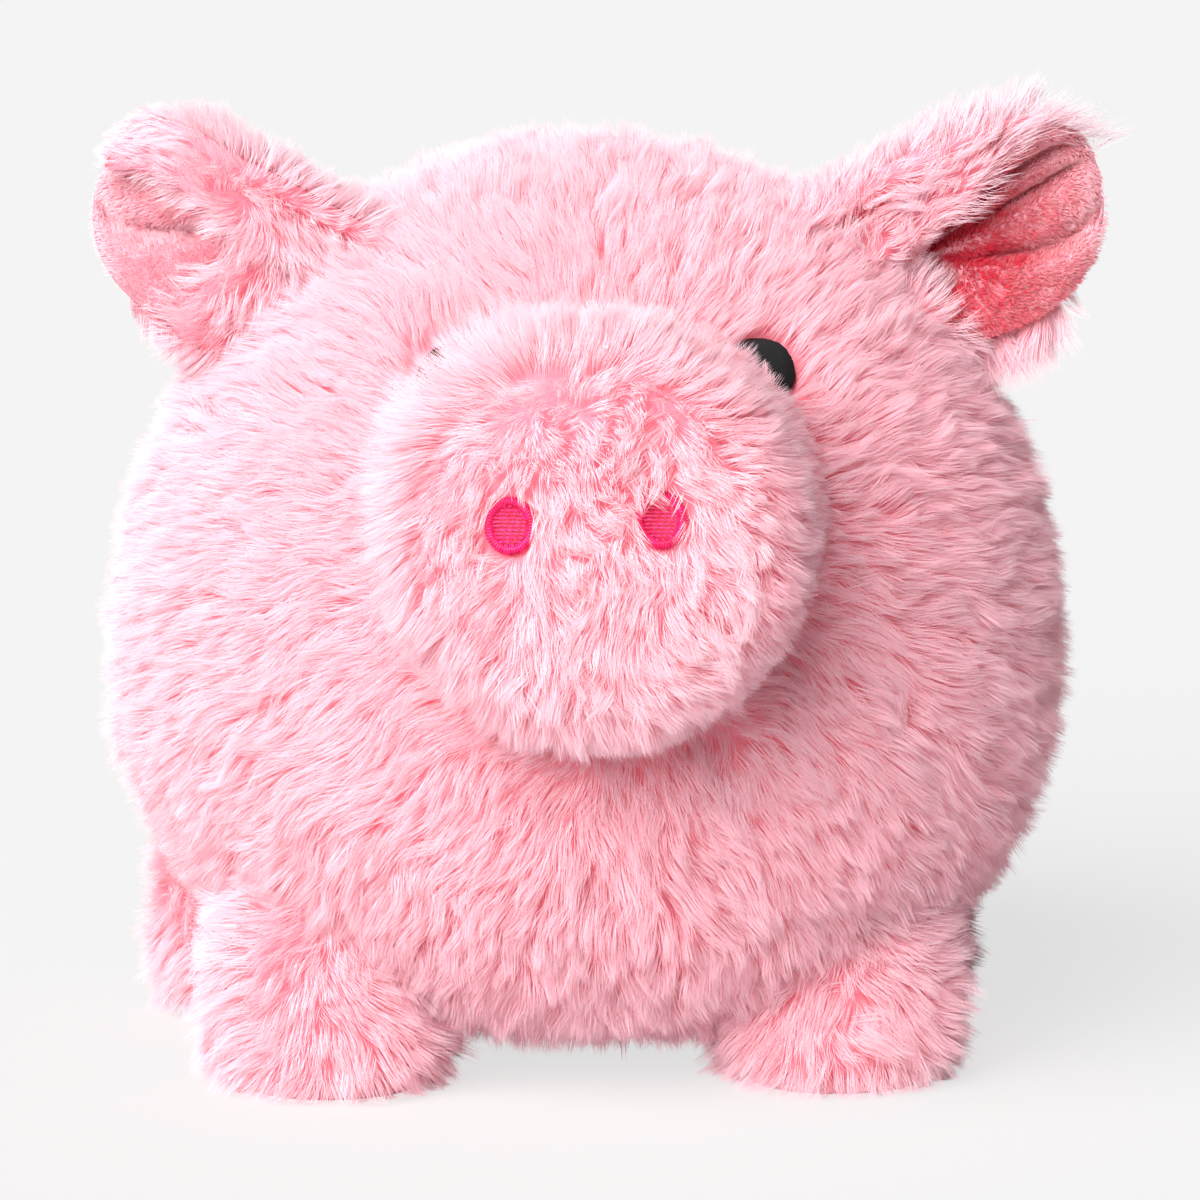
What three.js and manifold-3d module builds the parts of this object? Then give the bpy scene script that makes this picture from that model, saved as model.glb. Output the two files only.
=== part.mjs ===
// Plush piggy bank: a round long-pile pig sewn round a rigid coin canister.
// Millimetres, +Z up. The pig faces -Y, and left and right are as seen from its front.
import * as THREE from 'three';
import { mergeVertices } from 'three/addons/utils/BufferGeometryUtils.js';
import Module from 'manifold-3d';

// Body: an ellipse in plan, with a fuller curve below its widest level than above it
const bodyWidth = 194;
const bodyDepth = 200;
const crownHeight = 103;
const bellyDepth = 81;
const crownFullness = 2;
const bellyFullness = 2.3;
const bellyClearance = 5;
const skinThickness = 10;
const bellyPanelLength = 188;
const bellyPanelWidth = 92;

// Gaps: between sewn pieces and between fitted ones, and how far a cut runs past what it cuts
const seamGap = 0.3;
const fitClearance = 0.3;
const overcut = 1;

// Coin canister: a lid, a wall, a funnel and a neck, with a stated depth of filling round them
const canisterWall = 2;
const lidThickness = 2.5;
const lidCorner = 1.5;
const sideFill = 13;
const roofFill = 29;
const funnelHeight = 22;
const neckRise = 6;
const neckBore = 42;
const neckFlangeWidth = 7;
const neckFlangeThickness = 2;

// Outlet collar and stopper, sunk below the pile of the belly
const collarRecess = 2;
const collarWall = 1.8;
const collarFlangeWidth = 6;
const collarFlangeThickness = 2;
const plugLength = 10;
const gripDiameter = 24;
const gripDepth = 6;
const gripBarWidth = 5;
const gripBarCorner = 1.2;
const gripBarDepth = 3;

// Slot frame on the centre seam, behind the crown
const slotSetback = 30;
const slotLength = 38;
const slotWidth = 6;
const slotCorner = 1.5;
const chuteWall = 2;
const chuteReach = 1;
const slotRecess = 6;
const slotFlangeMargin = 6;
const slotFlangeThickness = 2.4;
const clampedCloth = 2;
const backingMargin = 9;
const backingThickness = 2;
const frameCorner = 5;

// Snout: a barrel that is widest part of the way out and ends in a crowned disc
const snoutLevel = 121;
const snoutDiameter = 82;
const snoutReach = 40;
const snoutSwellAt = 14;
const snoutBasePinch = 2;
const snoutFullness = 3.6;
const snoutRoot = 22;
const snoutSkin = 8;
const snoutSeamAt = 31;
const snoutTurn = 12;
const snoutRoll = 3.4;

// Embroidery, stitched down into the pile
const eyeSpacing = 64;
const eyeLevel = 151;
const eyeWidth = 14;
const eyeHeight = 15;
const nostrilSpacing = 29;
const nostrilLift = 5.5;
const nostrilWidth = 9.6;
const nostrilHeight = 10.8;
const stitchDepth = 4;
const stitchThickness = 1.5;
const pileParting = 0.8;

// Ears: leaves rolled forwards along both edges, a furry layer backing a lining
const earSpacing = 120;
const earForward = 12;
const earBaseWidth = 48;
const earWidth = 52;
const earWidestAt = 0.45;
const earRoot = 16;
const earOuterThickness = 6;
const earLiningThickness = 2.5;
const earRimShare = 0.45;
const earRimSharpness = 6;
const earFacing = 20;
const earHingeForward = 7;
const leftEarLength = 44;
const leftEarLift = 30;
const leftEarUpperRoll = 105;
const leftEarLowerRoll = 60;
const rightEarLength = 48;
const rightEarLift = 25;
const rightEarUpperRoll = 75;
const rightEarLowerRoll = 45;
const earFlopRange = [-20, 30];

// Legs: stubby swollen tubes with a flat sole disc, set a little to one side of the middle
const legShift = -3;
const frontLegSpacing = 103;
const frontLegForward = 38;
const rearLegSpacing = 122;
const rearLegBack = 42;
const legDiameter = 52;
const legHeight = 56;
const legSwellAt = 14;
const legFullness = 2.6;
const soleDiameter = 44;
const soleThickness = 5;
const legSkin = 6;

// Tail: a curl of stuffed cord at the back
const tailLevel = 108;
const tailDiameter = 10;
const tailCoilDiameter = 26;
const tailTurns = 1.3;
const tailReach = 28;
const tailRoot = 6;
const tailOpenAt = 0.5;
const tailSwingRange = [-25, 25];

// Facets of each form
const bodySegments = 32;
const bodyRings = 18;
const fillSegments = 22;
const fillRings = 12;
const barrelSegments = 24;
const legSegments = 16;
const ringSegments = 24;
const domeSteps = 5;
const cornerSteps = 3;
const lensSteps = 12;
const stitchSegments = 14;
const earRows = 8;
const earColumns = 8;
const tailSteps = 18;
const tailSides = 7;
const sweepSteps = 6;

// Materials
const longPile = new THREE.MeshStandardMaterial({ color: 0xf9c3ce, roughness: 0.95, metalness: 0 });
const shortPile = new THREE.MeshStandardMaterial({ color: 0xef8fa4, roughness: 0.9, metalness: 0 });
const fibreFill = new THREE.MeshStandardMaterial({ color: 0xf4f2ee, roughness: 1, metalness: 0 });
const blackThread = new THREE.MeshStandardMaterial({ color: 0x0c0b0d, roughness: 0.5, metalness: 0 });
const magentaThread = new THREE.MeshStandardMaterial({ color: 0xf0146e, roughness: 0.5, metalness: 0 });
const pinkPlastic = new THREE.MeshStandardMaterial({ color: 0xf3a9ba, roughness: 0.35, metalness: 0 });
const clearWhite = new THREE.MeshStandardMaterial({ color: 0xf0efec, roughness: 0.4, metalness: 0 });
const softRubber = new THREE.MeshStandardMaterial({ color: 0xe8e4e0, roughness: 0.6, metalness: 0 });

// Levels and radii that follow from the sizes above
const widestLevel = bellyClearance + bellyDepth;
const innerBelly = bellyClearance + skinThickness;
const roofLevel = widestLevel + crownHeight - skinThickness - roofFill;
const lidUnderside = roofLevel - lidThickness;
const neckRadius = neckBore / 2 + canisterWall;
const neckFlangeRadius = neckRadius + neckFlangeWidth;
const neckFlangeLevel = innerBelly + fitClearance;
const funnelBottom = neckFlangeLevel + neckFlangeThickness + neckRise;
const funnelTop = funnelBottom + funnelHeight;
const collarFace = bellyClearance + collarRecess;
const neckEnd = collarFace + collarFlangeThickness + fitClearance;
const collarBore = neckRadius + fitClearance;
const collarRadius = collarBore + collarWall;
const collarFlangeRadius = collarRadius + collarFlangeWidth;
const farAway = 4 * (bodyWidth + bodyDepth + crownHeight + bellyDepth);

const wasm = await Module();
wasm.setup();

// Solids: a closed geometry becomes a body that can be joined and cut
function solidOf(geometry) {
  const bare = geometry.clone();
  bare.deleteAttribute('normal');
  bare.deleteAttribute('uv');
  const merged = mergeVertices(bare);
  const corners = merged.index.array;
  const triangles = [];
  for (let i = 0; i < corners.length; i += 3) {
    const [a, b, c] = corners.slice(i, i + 3);
    if (a !== b && b !== c && c !== a) {
      triangles.push(a, b, c);
    }
  }
  const vertProperties = new Float32Array(merged.attributes.position.array);
  const triVerts = new Uint32Array(triangles);
  return new wasm.Manifold(new wasm.Mesh({ numProp: 3, vertProperties, triVerts }));
}

function geometryOf(solid) {
  const mesh = solid.getMesh();
  const geometry = new THREE.BufferGeometry();
  geometry.setAttribute('position', new THREE.BufferAttribute(mesh.vertProperties, 3));
  geometry.setIndex(new THREE.BufferAttribute(mesh.triVerts, 1));
  geometry.computeVertexNormals();
  return geometry;
}

function pieceMesh(name, solid, material) {
  const mesh = new THREE.Mesh(geometryOf(solid), material);
  mesh.name = name;
  return mesh;
}

const radians = THREE.MathUtils.degToRad;

// Outlines and plain solids
function ellipseOutline(width, height, steps) {
  const points = [];
  for (let i = 0; i < steps; i += 1) {
    const angle = (2 * Math.PI * i) / steps;
    points.push(new THREE.Vector2((width / 2) * Math.cos(angle), (height / 2) * Math.sin(angle)));
  }
  return points;
}

function roundedOutline(width, length, corner) {
  const points = [];
  const centres = [[1, 1], [-1, 1], [-1, -1], [1, -1]];
  centres.forEach(([sideX, sideY], quarter) => {
    for (let i = 0; i <= cornerSteps; i += 1) {
      const angle = (Math.PI / 2) * (quarter + i / cornerSteps);
      const x = sideX * (width / 2 - corner) + corner * Math.cos(angle);
      const y = sideY * (length / 2 - corner) + corner * Math.sin(angle);
      points.push(new THREE.Vector2(x, y));
    }
  });
  return points;
}

// Two arcs that meet in points, long in Y
function lensOutline(width, length) {
  const arcRadius = (length ** 2 + width ** 2) / (4 * width);
  const halfAngle = Math.asin(length / 2 / arcRadius);
  const points = [];
  for (const side of [1, -1]) {
    for (let i = 0; i < lensSteps; i += 1) {
      const angle = halfAngle * ((2 * i) / lensSteps - 1);
      const x = arcRadius * Math.cos(angle) - arcRadius + width / 2;
      points.push(new THREE.Vector2(side * x, side * arcRadius * Math.sin(angle)));
    }
  }
  return points;
}

function prismGeometry(outline, low, high) {
  const shape = new THREE.Shape(outline);
  const geometry = new THREE.ExtrudeGeometry(shape, { depth: high - low, bevelEnabled: false });
  return geometry.translate(0, 0, low);
}

function prism(outline, low, high, matrix = new THREE.Matrix4()) {
  return solidOf(prismGeometry(outline, low, high).applyMatrix4(matrix));
}

function disc(radius, low, high) {
  return prism(ellipseOutline(2 * radius, 2 * radius, ringSegments), low, high);
}

function turned(profile, segments) {
  const points = profile.map(([radius, level]) => new THREE.Vector2(radius, level));
  return new THREE.LatheGeometry(points, segments).rotateX(Math.PI / 2);
}

function arcProfile(radius, level, corner, from, to) {
  const points = [];
  for (let i = 0; i <= cornerSteps; i += 1) {
    const angle = radians(from + ((to - from) * i) / cornerSteps);
    points.push([radius + corner * Math.cos(angle), level + corner * Math.sin(angle)]);
  }
  return points;
}

// Everything on one side of a plane across the given axis, from a level upwards or downwards
function halfSpace(axis, level, upwards, matrix = new THREE.Matrix4()) {
  const geometry = new THREE.BoxGeometry(farAway, farAway, farAway);
  const shift = new THREE.Vector3();
  shift[axis] = level + (upwards ? farAway / 2 : -farAway / 2);
  return solidOf(geometry.translate(shift.x, shift.y, shift.z).applyMatrix4(matrix));
}

// Body surface, grown or shrunk by an offset
function bodyGeometry(offset, segments, rings) {
  const geometry = new THREE.SphereGeometry(1, segments, rings).rotateX(Math.PI / 2);
  const position = geometry.attributes.position;
  for (let i = 0; i < position.count; i += 1) {
    const height = position.getZ(i);
    const reach = Math.hypot(position.getX(i), position.getY(i));
    const power = 2 / (height > 0 ? crownFullness : bellyFullness);
    const rise = (height > 0 ? crownHeight : bellyDepth) + offset;
    const spread = reach > 0 ? reach ** (power - 1) : 0;
    const x = position.getX(i) * spread * (bodyWidth / 2 + offset);
    const y = position.getY(i) * spread * (bodyDepth / 2 + offset);
    position.setXYZ(i, x, y, widestLevel + Math.sign(height) * Math.abs(height) ** power * rise);
  }
  return geometry;
}

function bodySolid(offset) {
  return solidOf(bodyGeometry(offset, bodySegments, bodyRings));
}

function fillSolid(offset) {
  return solidOf(bodyGeometry(offset, fillSegments, fillRings));
}

// Share of the plan ellipse that the body fills at a level
function bodyShare(level, offset = 0) {
  const above = level > widestLevel;
  const rise = (above ? crownHeight : bellyDepth) + offset;
  const fullness = above ? crownFullness : bellyFullness;
  return (1 - (Math.abs(level - widestLevel) / rise) ** fullness) ** (1 / fullness);
}

function frontPoint(x, level) {
  const share = bodyShare(level);
  const y = -(bodyDepth / 2) * Math.sqrt(share ** 2 - (x / (bodyWidth / 2)) ** 2);
  return new THREE.Vector3(x, y, level);
}

function crownPoint(x, y) {
  const spread = Math.hypot(x / (bodyWidth / 2), y / (bodyDepth / 2));
  const rise = crownHeight * (1 - spread ** crownFullness) ** (1 / crownFullness);
  return new THREE.Vector3(x, y, widestLevel + rise);
}

// Outward direction on the upper half of the body
function crownNormal(point) {
  const spread = Math.hypot(point.x / (bodyWidth / 2), point.y / (bodyDepth / 2));
  const plan = spread ** (crownFullness - 2);
  const x = (plan * point.x) / (bodyWidth / 2) ** 2;
  const y = (plan * point.y) / (bodyDepth / 2) ** 2;
  const z = (point.z - widestLevel) ** (crownFullness - 1) / crownHeight ** crownFullness;
  return new THREE.Vector3(x, y, z).normalize();
}

// Frame whose Z axis points along a direction and whose X axis lies level
function outwardFrame(origin, outward) {
  const across = new THREE.Vector3(0, 0, 1).cross(outward).normalize();
  const upward = outward.clone().cross(across);
  return new THREE.Matrix4().makeBasis(across, upward, outward).setPosition(origin);
}

// Turn about an axis through a point
function turnAbout(point, axis, degrees) {
  const matrix = new THREE.Matrix4().makeTranslation(point.x, point.y, point.z);
  matrix.multiply(new THREE.Matrix4().makeRotationAxis(axis, radians(degrees)));
  return matrix.multiply(new THREE.Matrix4().makeTranslation(-point.x, -point.y, -point.z));
}

// Body as a hinged piece meets it: at rest and turned back from each step of the piece's range
function sweptBody(hinge, [low, high]) {
  let swept = bodySolid(fitClearance);
  for (let i = 0; i <= sweepSteps; i += 1) {
    const matrix = turnAbout(hinge.point, hinge.axis, -low - ((high - low) * i) / sweepSteps);
    const turnedBody = bodyGeometry(fitClearance, bodySegments, bodyRings).applyMatrix4(matrix);
    swept = swept.add(solidOf(turnedBody));
  }
  return swept;
}

// Slot frame, chute and backing plate, in a frame that lies on the body behind its crown
const slotPlace = crownPoint(0, slotSetback);
const slotTilt = Math.atan2(crownNormal(slotPlace).y, crownNormal(slotPlace).z);
const slotFrame = new THREE.Matrix4().makeRotationX(-slotTilt).setPosition(slotPlace);
const chuteWidth = slotWidth + 2 * chuteWall;
const chuteLength = slotLength + 2 * chuteWall;
const chuteDepth = (slotPlace.z - roofLevel + chuteLength) / Math.cos(slotTilt);
const slotFlangeLevel = -slotRecess;
const backingTop = slotFlangeLevel - clampedCloth - fitClearance;
const chuteEnd = lidUnderside - chuteReach;

function slotPrism(width, length, corner, low, high) {
  return prism(roundedOutline(width, length, corner), low, high, slotFrame);
}

function chutePassage(clearance) {
  const width = chuteWidth + 2 * clearance;
  const length = chuteLength + 2 * clearance;
  return slotPrism(width, length, chuteWall, -chuteDepth, slotFlangeLevel + fitClearance);
}

function slotFlange(margin, clearance, low, high) {
  const width = chuteWidth + 2 * (margin + clearance);
  const length = chuteLength + 2 * (margin + clearance);
  return slotPrism(width, length, frameCorner, low, high);
}

function slotFrameSolid() {
  const top = slotFlangeLevel + slotFlangeThickness;
  const flange = slotFlange(slotFlangeMargin, 0, slotFlangeLevel, top);
  const slot = slotPrism(slotWidth, slotLength, slotCorner, -chuteDepth - overcut, top + overcut);
  const tooLow = halfSpace('z', chuteEnd, false);
  return flange.add(chutePassage(0)).subtract(slot).subtract(tooLow);
}

function backingPlateSolid() {
  const plate = slotFlange(backingMargin, 0, backingTop - backingThickness, backingTop);
  return plate.subtract(chutePassage(fitClearance));
}

// Space that the slot pieces take out of the skin and the filling
function slotRoom() {
  const clothTop = slotFlangeLevel - fitClearance;
  const clothUnderside = backingTop + fitClearance;
  const above = slotFlange(slotFlangeMargin, fitClearance, clothTop, skinThickness);
  const plateLow = backingTop - backingThickness - fitClearance;
  const below = slotFlange(backingMargin, fitClearance, plateLow, clothUnderside);
  return above.add(below).add(chutePassage(fitClearance));
}

// Canister mouldings, each turned from its own profile
const canisterRadius = Math.min(
  bodyShare(roofLevel, -skinThickness),
  bodyShare(funnelTop, -skinThickness),
) * (Math.min(bodyWidth, bodyDepth) / 2 - skinThickness) - sideFill;
const canisterBore = canisterRadius - canisterWall;

function canisterLidSolid() {
  const profile = [
    [0, lidUnderside],
    [canisterRadius, lidUnderside],
    ...arcProfile(canisterRadius - lidCorner, roofLevel - lidCorner, lidCorner, 0, 90),
    [0, roofLevel],
  ];
  return solidOf(turned(profile, ringSegments)).subtract(chutePassage(fitClearance));
}

function canisterWallSolid() {
  const top = lidUnderside - seamGap;
  const bottom = funnelTop + seamGap;
  const profile = [
    [canisterBore, top],
    [canisterBore, bottom],
    [canisterRadius, bottom],
    [canisterRadius, top],
    [canisterBore, top],
  ];
  return solidOf(turned(profile, ringSegments));
}

function canisterFunnelSolid() {
  const bottom = funnelBottom + seamGap;
  const profile = [
    [canisterBore, funnelTop],
    [neckBore / 2, bottom],
    [neckRadius, bottom],
    [canisterRadius, funnelTop],
    [canisterBore, funnelTop],
  ];
  return solidOf(turned(profile, ringSegments));
}

function canisterNeckSolid() {
  const flangeTop = neckFlangeLevel + neckFlangeThickness;
  const profile = [
    [neckBore / 2, funnelBottom],
    [neckBore / 2, neckEnd],
    [neckRadius, neckEnd],
    [neckRadius, neckFlangeLevel],
    [neckFlangeRadius, neckFlangeLevel],
    [neckFlangeRadius, flangeTop],
    [neckRadius, flangeTop],
    [neckRadius, funnelBottom],
    [neckBore / 2, funnelBottom],
  ];
  return solidOf(turned(profile, ringSegments));
}

// Room for the canister in the filling: its outer shape, grown by the fit
function canisterRoom() {
  const radius = canisterRadius + fitClearance;
  const flangeRadius = neckFlangeRadius + fitClearance;
  const flangeTop = neckFlangeLevel + neckFlangeThickness + fitClearance;
  const profile = [
    [0, bellyClearance],
    [flangeRadius, bellyClearance],
    [flangeRadius, flangeTop],
    [neckRadius + fitClearance, flangeTop],
    [neckRadius + fitClearance, funnelBottom - fitClearance],
    [radius, funnelTop - fitClearance],
    [radius, roofLevel + fitClearance],
    [0, roofLevel + fitClearance],
  ];
  return solidOf(turned(profile, ringSegments));
}

// Collar: a flanged sleeve round the neck that holds the belly panel against the neck's flange
function collarSolid() {
  const sleeveTop = neckFlangeLevel - fitClearance;
  const flange = disc(collarFlangeRadius, collarFace, collarFace + collarFlangeThickness);
  const sleeve = disc(collarRadius, collarFace, sleeveTop);
  return flange.add(sleeve).subtract(disc(collarBore, collarFace - overcut, sleeveTop + overcut));
}

// Stopper: a plug with a flange, and a finger recess crossed by a bar
function stopperSolid() {
  const flangeTop = collarFace + collarFlangeThickness;
  const flange = disc(neckRadius, collarFace, flangeTop);
  const plug = disc(neckBore / 2 - fitClearance, collarFace, flangeTop + plugLength);
  const recess = disc(gripDiameter / 2, collarFace - overcut, collarFace + gripDepth);
  const barOutline = roundedOutline(gripBarWidth, gripDiameter + gripBarWidth, gripBarCorner);
  const bar = prism(barOutline, collarFace, collarFace + gripBarDepth);
  return flange.add(plug).subtract(recess).add(bar);
}

// Space that the collar and the neck's flange take out of the belly panel
function outletRoom() {
  const clothTop = neckFlangeLevel - fitClearance;
  const clothUnderside = collarFace + collarFlangeThickness + fitClearance;
  const below = disc(collarFlangeRadius + fitClearance, bellyClearance - skinThickness, clothUnderside);
  const middle = disc(collarRadius + fitClearance, bellyClearance, clothTop + overcut);
  const above = disc(neckFlangeRadius + fitClearance, clothTop, funnelBottom);
  return below.add(middle).add(above);
}

// Snout surface, grown or shrunk by an offset, in a frame whose Z axis leaves the face
const snoutOrigin = frontPoint(0, snoutLevel);
const snoutOutward = new THREE.Vector3(-Math.sin(radians(snoutTurn)), -Math.cos(radians(snoutTurn)), 0);
const snoutFrame = outwardFrame(snoutOrigin, snoutOutward);
snoutFrame.multiply(new THREE.Matrix4().makeRotationZ(radians(snoutRoll)));

function snoutSolid(offset) {
  const radius = snoutDiameter / 2 + offset;
  const dome = snoutReach - snoutSwellAt + offset;
  const profile = [[0, -snoutRoot]];
  for (let i = 0; i < cornerSteps; i += 1) {
    const level = -snoutRoot + ((snoutSwellAt + snoutRoot) * i) / cornerSteps;
    const pinch = snoutBasePinch * ((snoutSwellAt - level) / (snoutSwellAt + snoutRoot)) ** 2;
    profile.push([radius - pinch, level]);
  }
  for (let i = 0; i < domeSteps; i += 1) {
    const angle = (Math.PI / 2) * (i / domeSteps);
    const out = radius * Math.cos(angle) ** (2 / snoutFullness);
    profile.push([out, snoutSwellAt + dome * Math.sin(angle) ** (2 / snoutFullness)]);
  }
  profile.push([0, snoutSwellAt + dome]);
  return solidOf(turned(profile, barrelSegments).applyMatrix4(snoutFrame));
}

// Embroidery patch: what lies in a prism between two depths under a surface
function stitchPatch(surface, width, height, frame) {
  const outline = ellipseOutline(width, height, stitchSegments);
  const outside = surface(fitClearance + stitchThickness - stitchDepth);
  const inside = surface(fitClearance - stitchDepth);
  return prism(outline, -skinThickness, skinThickness, frame).intersect(outside).subtract(inside);
}

// Parted pile over a patch, down to the depth that it is stitched to
function stitchRoom(surface, width, height, frame) {
  const outline = ellipseOutline(width + 2 * pileParting, height + 2 * pileParting, stitchSegments);
  return prism(outline, -skinThickness, skinThickness, frame).subtract(surface(-stitchDepth));
}

const eyeFrames = [-1, 1].map((side) => {
  const place = frontPoint((side * eyeSpacing) / 2, eyeLevel);
  return outwardFrame(place, crownNormal(place));
});

// Point of a nostril on the crowned disc, found from the disc's own curve
const nostrilFrames = [-1, 1].map((side) => {
  const across = (side * nostrilSpacing) / 2;
  const share = Math.hypot(across, nostrilLift) / (snoutDiameter / 2);
  const dome = (snoutReach - snoutSwellAt) * (1 - share ** snoutFullness) ** (1 / snoutFullness);
  const shift = new THREE.Matrix4().makeTranslation(across, nostrilLift, snoutSwellAt + dome);
  return snoutFrame.clone().multiply(shift);
});

// Ear frame: length, width and the way the lining faces
function earFrame(ear) {
  const lift = radians(ear.lift);
  const facing = radians(earFacing);
  const along = new THREE.Vector3(ear.side * Math.cos(lift), 0, Math.sin(lift));
  const outlook = new THREE.Vector3(ear.side * Math.sin(facing), -Math.cos(facing), 0);
  const across = outlook.cross(along).normalize();
  const forward = along.clone().cross(across);
  const base = crownPoint((ear.side * earSpacing) / 2, -earForward);
  const hingePoint = base.clone().addScaledVector(forward, earHingeForward);
  return { base, along, across, forward, hinge: { point: hingePoint, axis: across.clone().negate() } };
}

// Half width of the leaf at a share of its length, widest part of the way and round at its tip
function earHalfWidth(share) {
  if (share < earWidestAt) {
    const swell = Math.sin((Math.PI / 2) * Math.max(0, share / earWidestAt));
    return (earBaseWidth + (earWidth - earBaseWidth) * swell) / 2;
  }
  const tip = (share - earWidestAt) / (1 - earWidestAt);
  return (earWidth / 2) * Math.sqrt(Math.max(0, 1 - tip ** 2));
}

// Point of a layer: across the leaf it follows two arcs, one for each rolled edge
function earPoint(ear, frame, row, column, depth, rimDepth) {
  const rootShare = -earRoot / ear.length;
  const share = rootShare + (1 - rootShare) * Math.sin((Math.PI / 2) * row);
  const halfWidth = earHalfWidth(share);
  const upperEdge = column * ear.side > 0;
  const roll = radians(upperEdge ? ear.upperRoll : ear.lowerRoll);
  const bend = (2 * roll) / earWidth;
  const angle = Math.abs(column) * halfWidth * bend;
  const rim = Math.max(Math.abs(column), row) ** earRimSharpness;
  const reach = depth + (rimDepth - depth) * rim;
  const sideways = Math.sign(column) * (Math.sin(angle) / bend - reach * Math.sin(angle));
  const forwards = (1 - Math.cos(angle)) / bend + reach * Math.cos(angle);
  return frame.base.clone()
    .addScaledVector(frame.along, share * ear.length)
    .addScaledVector(frame.across, sideways)
    .addScaledVector(frame.forward, forwards);
}

// Closed solid between two depths of the leaf, positive towards the lining's face
function earLayer(ear, frame, near, far) {
  const positions = [];
  const index = [];
  const stride = earColumns + 1;
  const layer = (earRows + 1) * stride;
  for (const depth of [near, far]) {
    for (let i = 0; i <= earRows; i += 1) {
      for (let j = 0; j <= earColumns; j += 1) {
        const column = (2 * j) / earColumns - 1;
        positions.push(...earPoint(ear, frame, i / earRows, column, depth, depth * earRimShare));
      }
    }
  }
  const quad = (a, b, c, d) => index.push(a, b, c, a, c, d);
  for (let i = 0; i < earRows; i += 1) {
    for (let j = 0; j < earColumns; j += 1) {
      const corner = i * stride + j;
      quad(corner, corner + 1, corner + stride + 1, corner + stride);
      const above = corner + layer;
      quad(above, above + stride, above + stride + 1, above + 1);
    }
    const low = i * stride;
    quad(low, low + stride, low + stride + layer, low + layer);
    const high = low + earColumns;
    quad(high, high + layer, high + stride + layer, high + stride);
  }
  for (let j = 0; j < earColumns; j += 1) {
    quad(j, j + layer, j + layer + 1, j + 1);
  }
  const geometry = new THREE.BufferGeometry();
  geometry.setAttribute('position', new THREE.Float32BufferAttribute(positions, 3));
  geometry.setIndex(index);
  return solidOf(geometry);
}

const ears = [
  {
    name: 'ear_left',
    side: -1,
    length: leftEarLength,
    lift: leftEarLift,
    upperRoll: leftEarUpperRoll,
    lowerRoll: leftEarLowerRoll,
  },
  {
    name: 'ear_right',
    side: 1,
    length: rightEarLength,
    lift: rightEarLift,
    upperRoll: rightEarUpperRoll,
    lowerRoll: rightEarLowerRoll,
  },
];

// Leg surface, grown or shrunk by an offset
function legSolid(offset, x, y) {
  const radius = legDiameter / 2 + offset;
  const dome = legHeight - legSwellAt + offset;
  const profile = [[0, 0]];
  for (let i = 0; i < cornerSteps; i += 1) {
    const level = (legSwellAt * i) / cornerSteps;
    const taper = ((legDiameter - soleDiameter) / 2) * (1 - level / legSwellAt) ** 2;
    profile.push([radius - taper, level]);
  }
  for (let i = 0; i < domeSteps; i += 1) {
    const angle = (Math.PI / 2) * (i / domeSteps);
    const out = radius * Math.cos(angle) ** (2 / legFullness);
    profile.push([out, legSwellAt + dome * Math.sin(angle) ** (2 / legFullness)]);
  }
  profile.push([0, legSwellAt + dome]);
  return solidOf(turned(profile, legSegments).translate(x, y, 0));
}

const legs = [
  { name: 'front_left', x: legShift - frontLegSpacing / 2, y: -frontLegForward },
  { name: 'front_right', x: legShift + frontLegSpacing / 2, y: -frontLegForward },
  { name: 'rear_left', x: legShift - rearLegSpacing / 2, y: rearLegBack },
  { name: 'rear_right', x: legShift + rearLegSpacing / 2, y: rearLegBack },
];

// Tail: straight out of the back, then round in a curl that widens as it goes
class TailCurve extends THREE.Curve {
  getPoint(t, target = new THREE.Vector3()) {
    const angle = 2 * Math.PI * tailTurns * t;
    const opening = Math.sin((Math.PI / 2) * Math.min(1, t / tailOpenAt)) ** 2;
    const radius = ((tailCoilDiameter - tailDiameter) / 2) * opening;
    const y = bodyDepth / 2 * bodyShare(tailLevel) - tailRoot + (tailReach + tailRoot) * t;
    return target.set(radius * Math.sin(angle), y, tailLevel + radius * Math.cos(angle));
  }
}

const tailHinge = {
  point: new THREE.Vector3(0, (bodyDepth / 2) * bodyShare(tailLevel), tailLevel),
  axis: new THREE.Vector3(1, 0, 0),
};

function tailSolid() {
  const shape = new THREE.Shape(ellipseOutline(tailDiameter, tailDiameter, tailSides));
  const options = { steps: tailSteps, bevelEnabled: false, extrudePath: new TailCurve() };
  return solidOf(new THREE.ExtrudeGeometry(shape, options));
}

// Assembly
const piggyBank = new THREE.Group();

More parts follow.
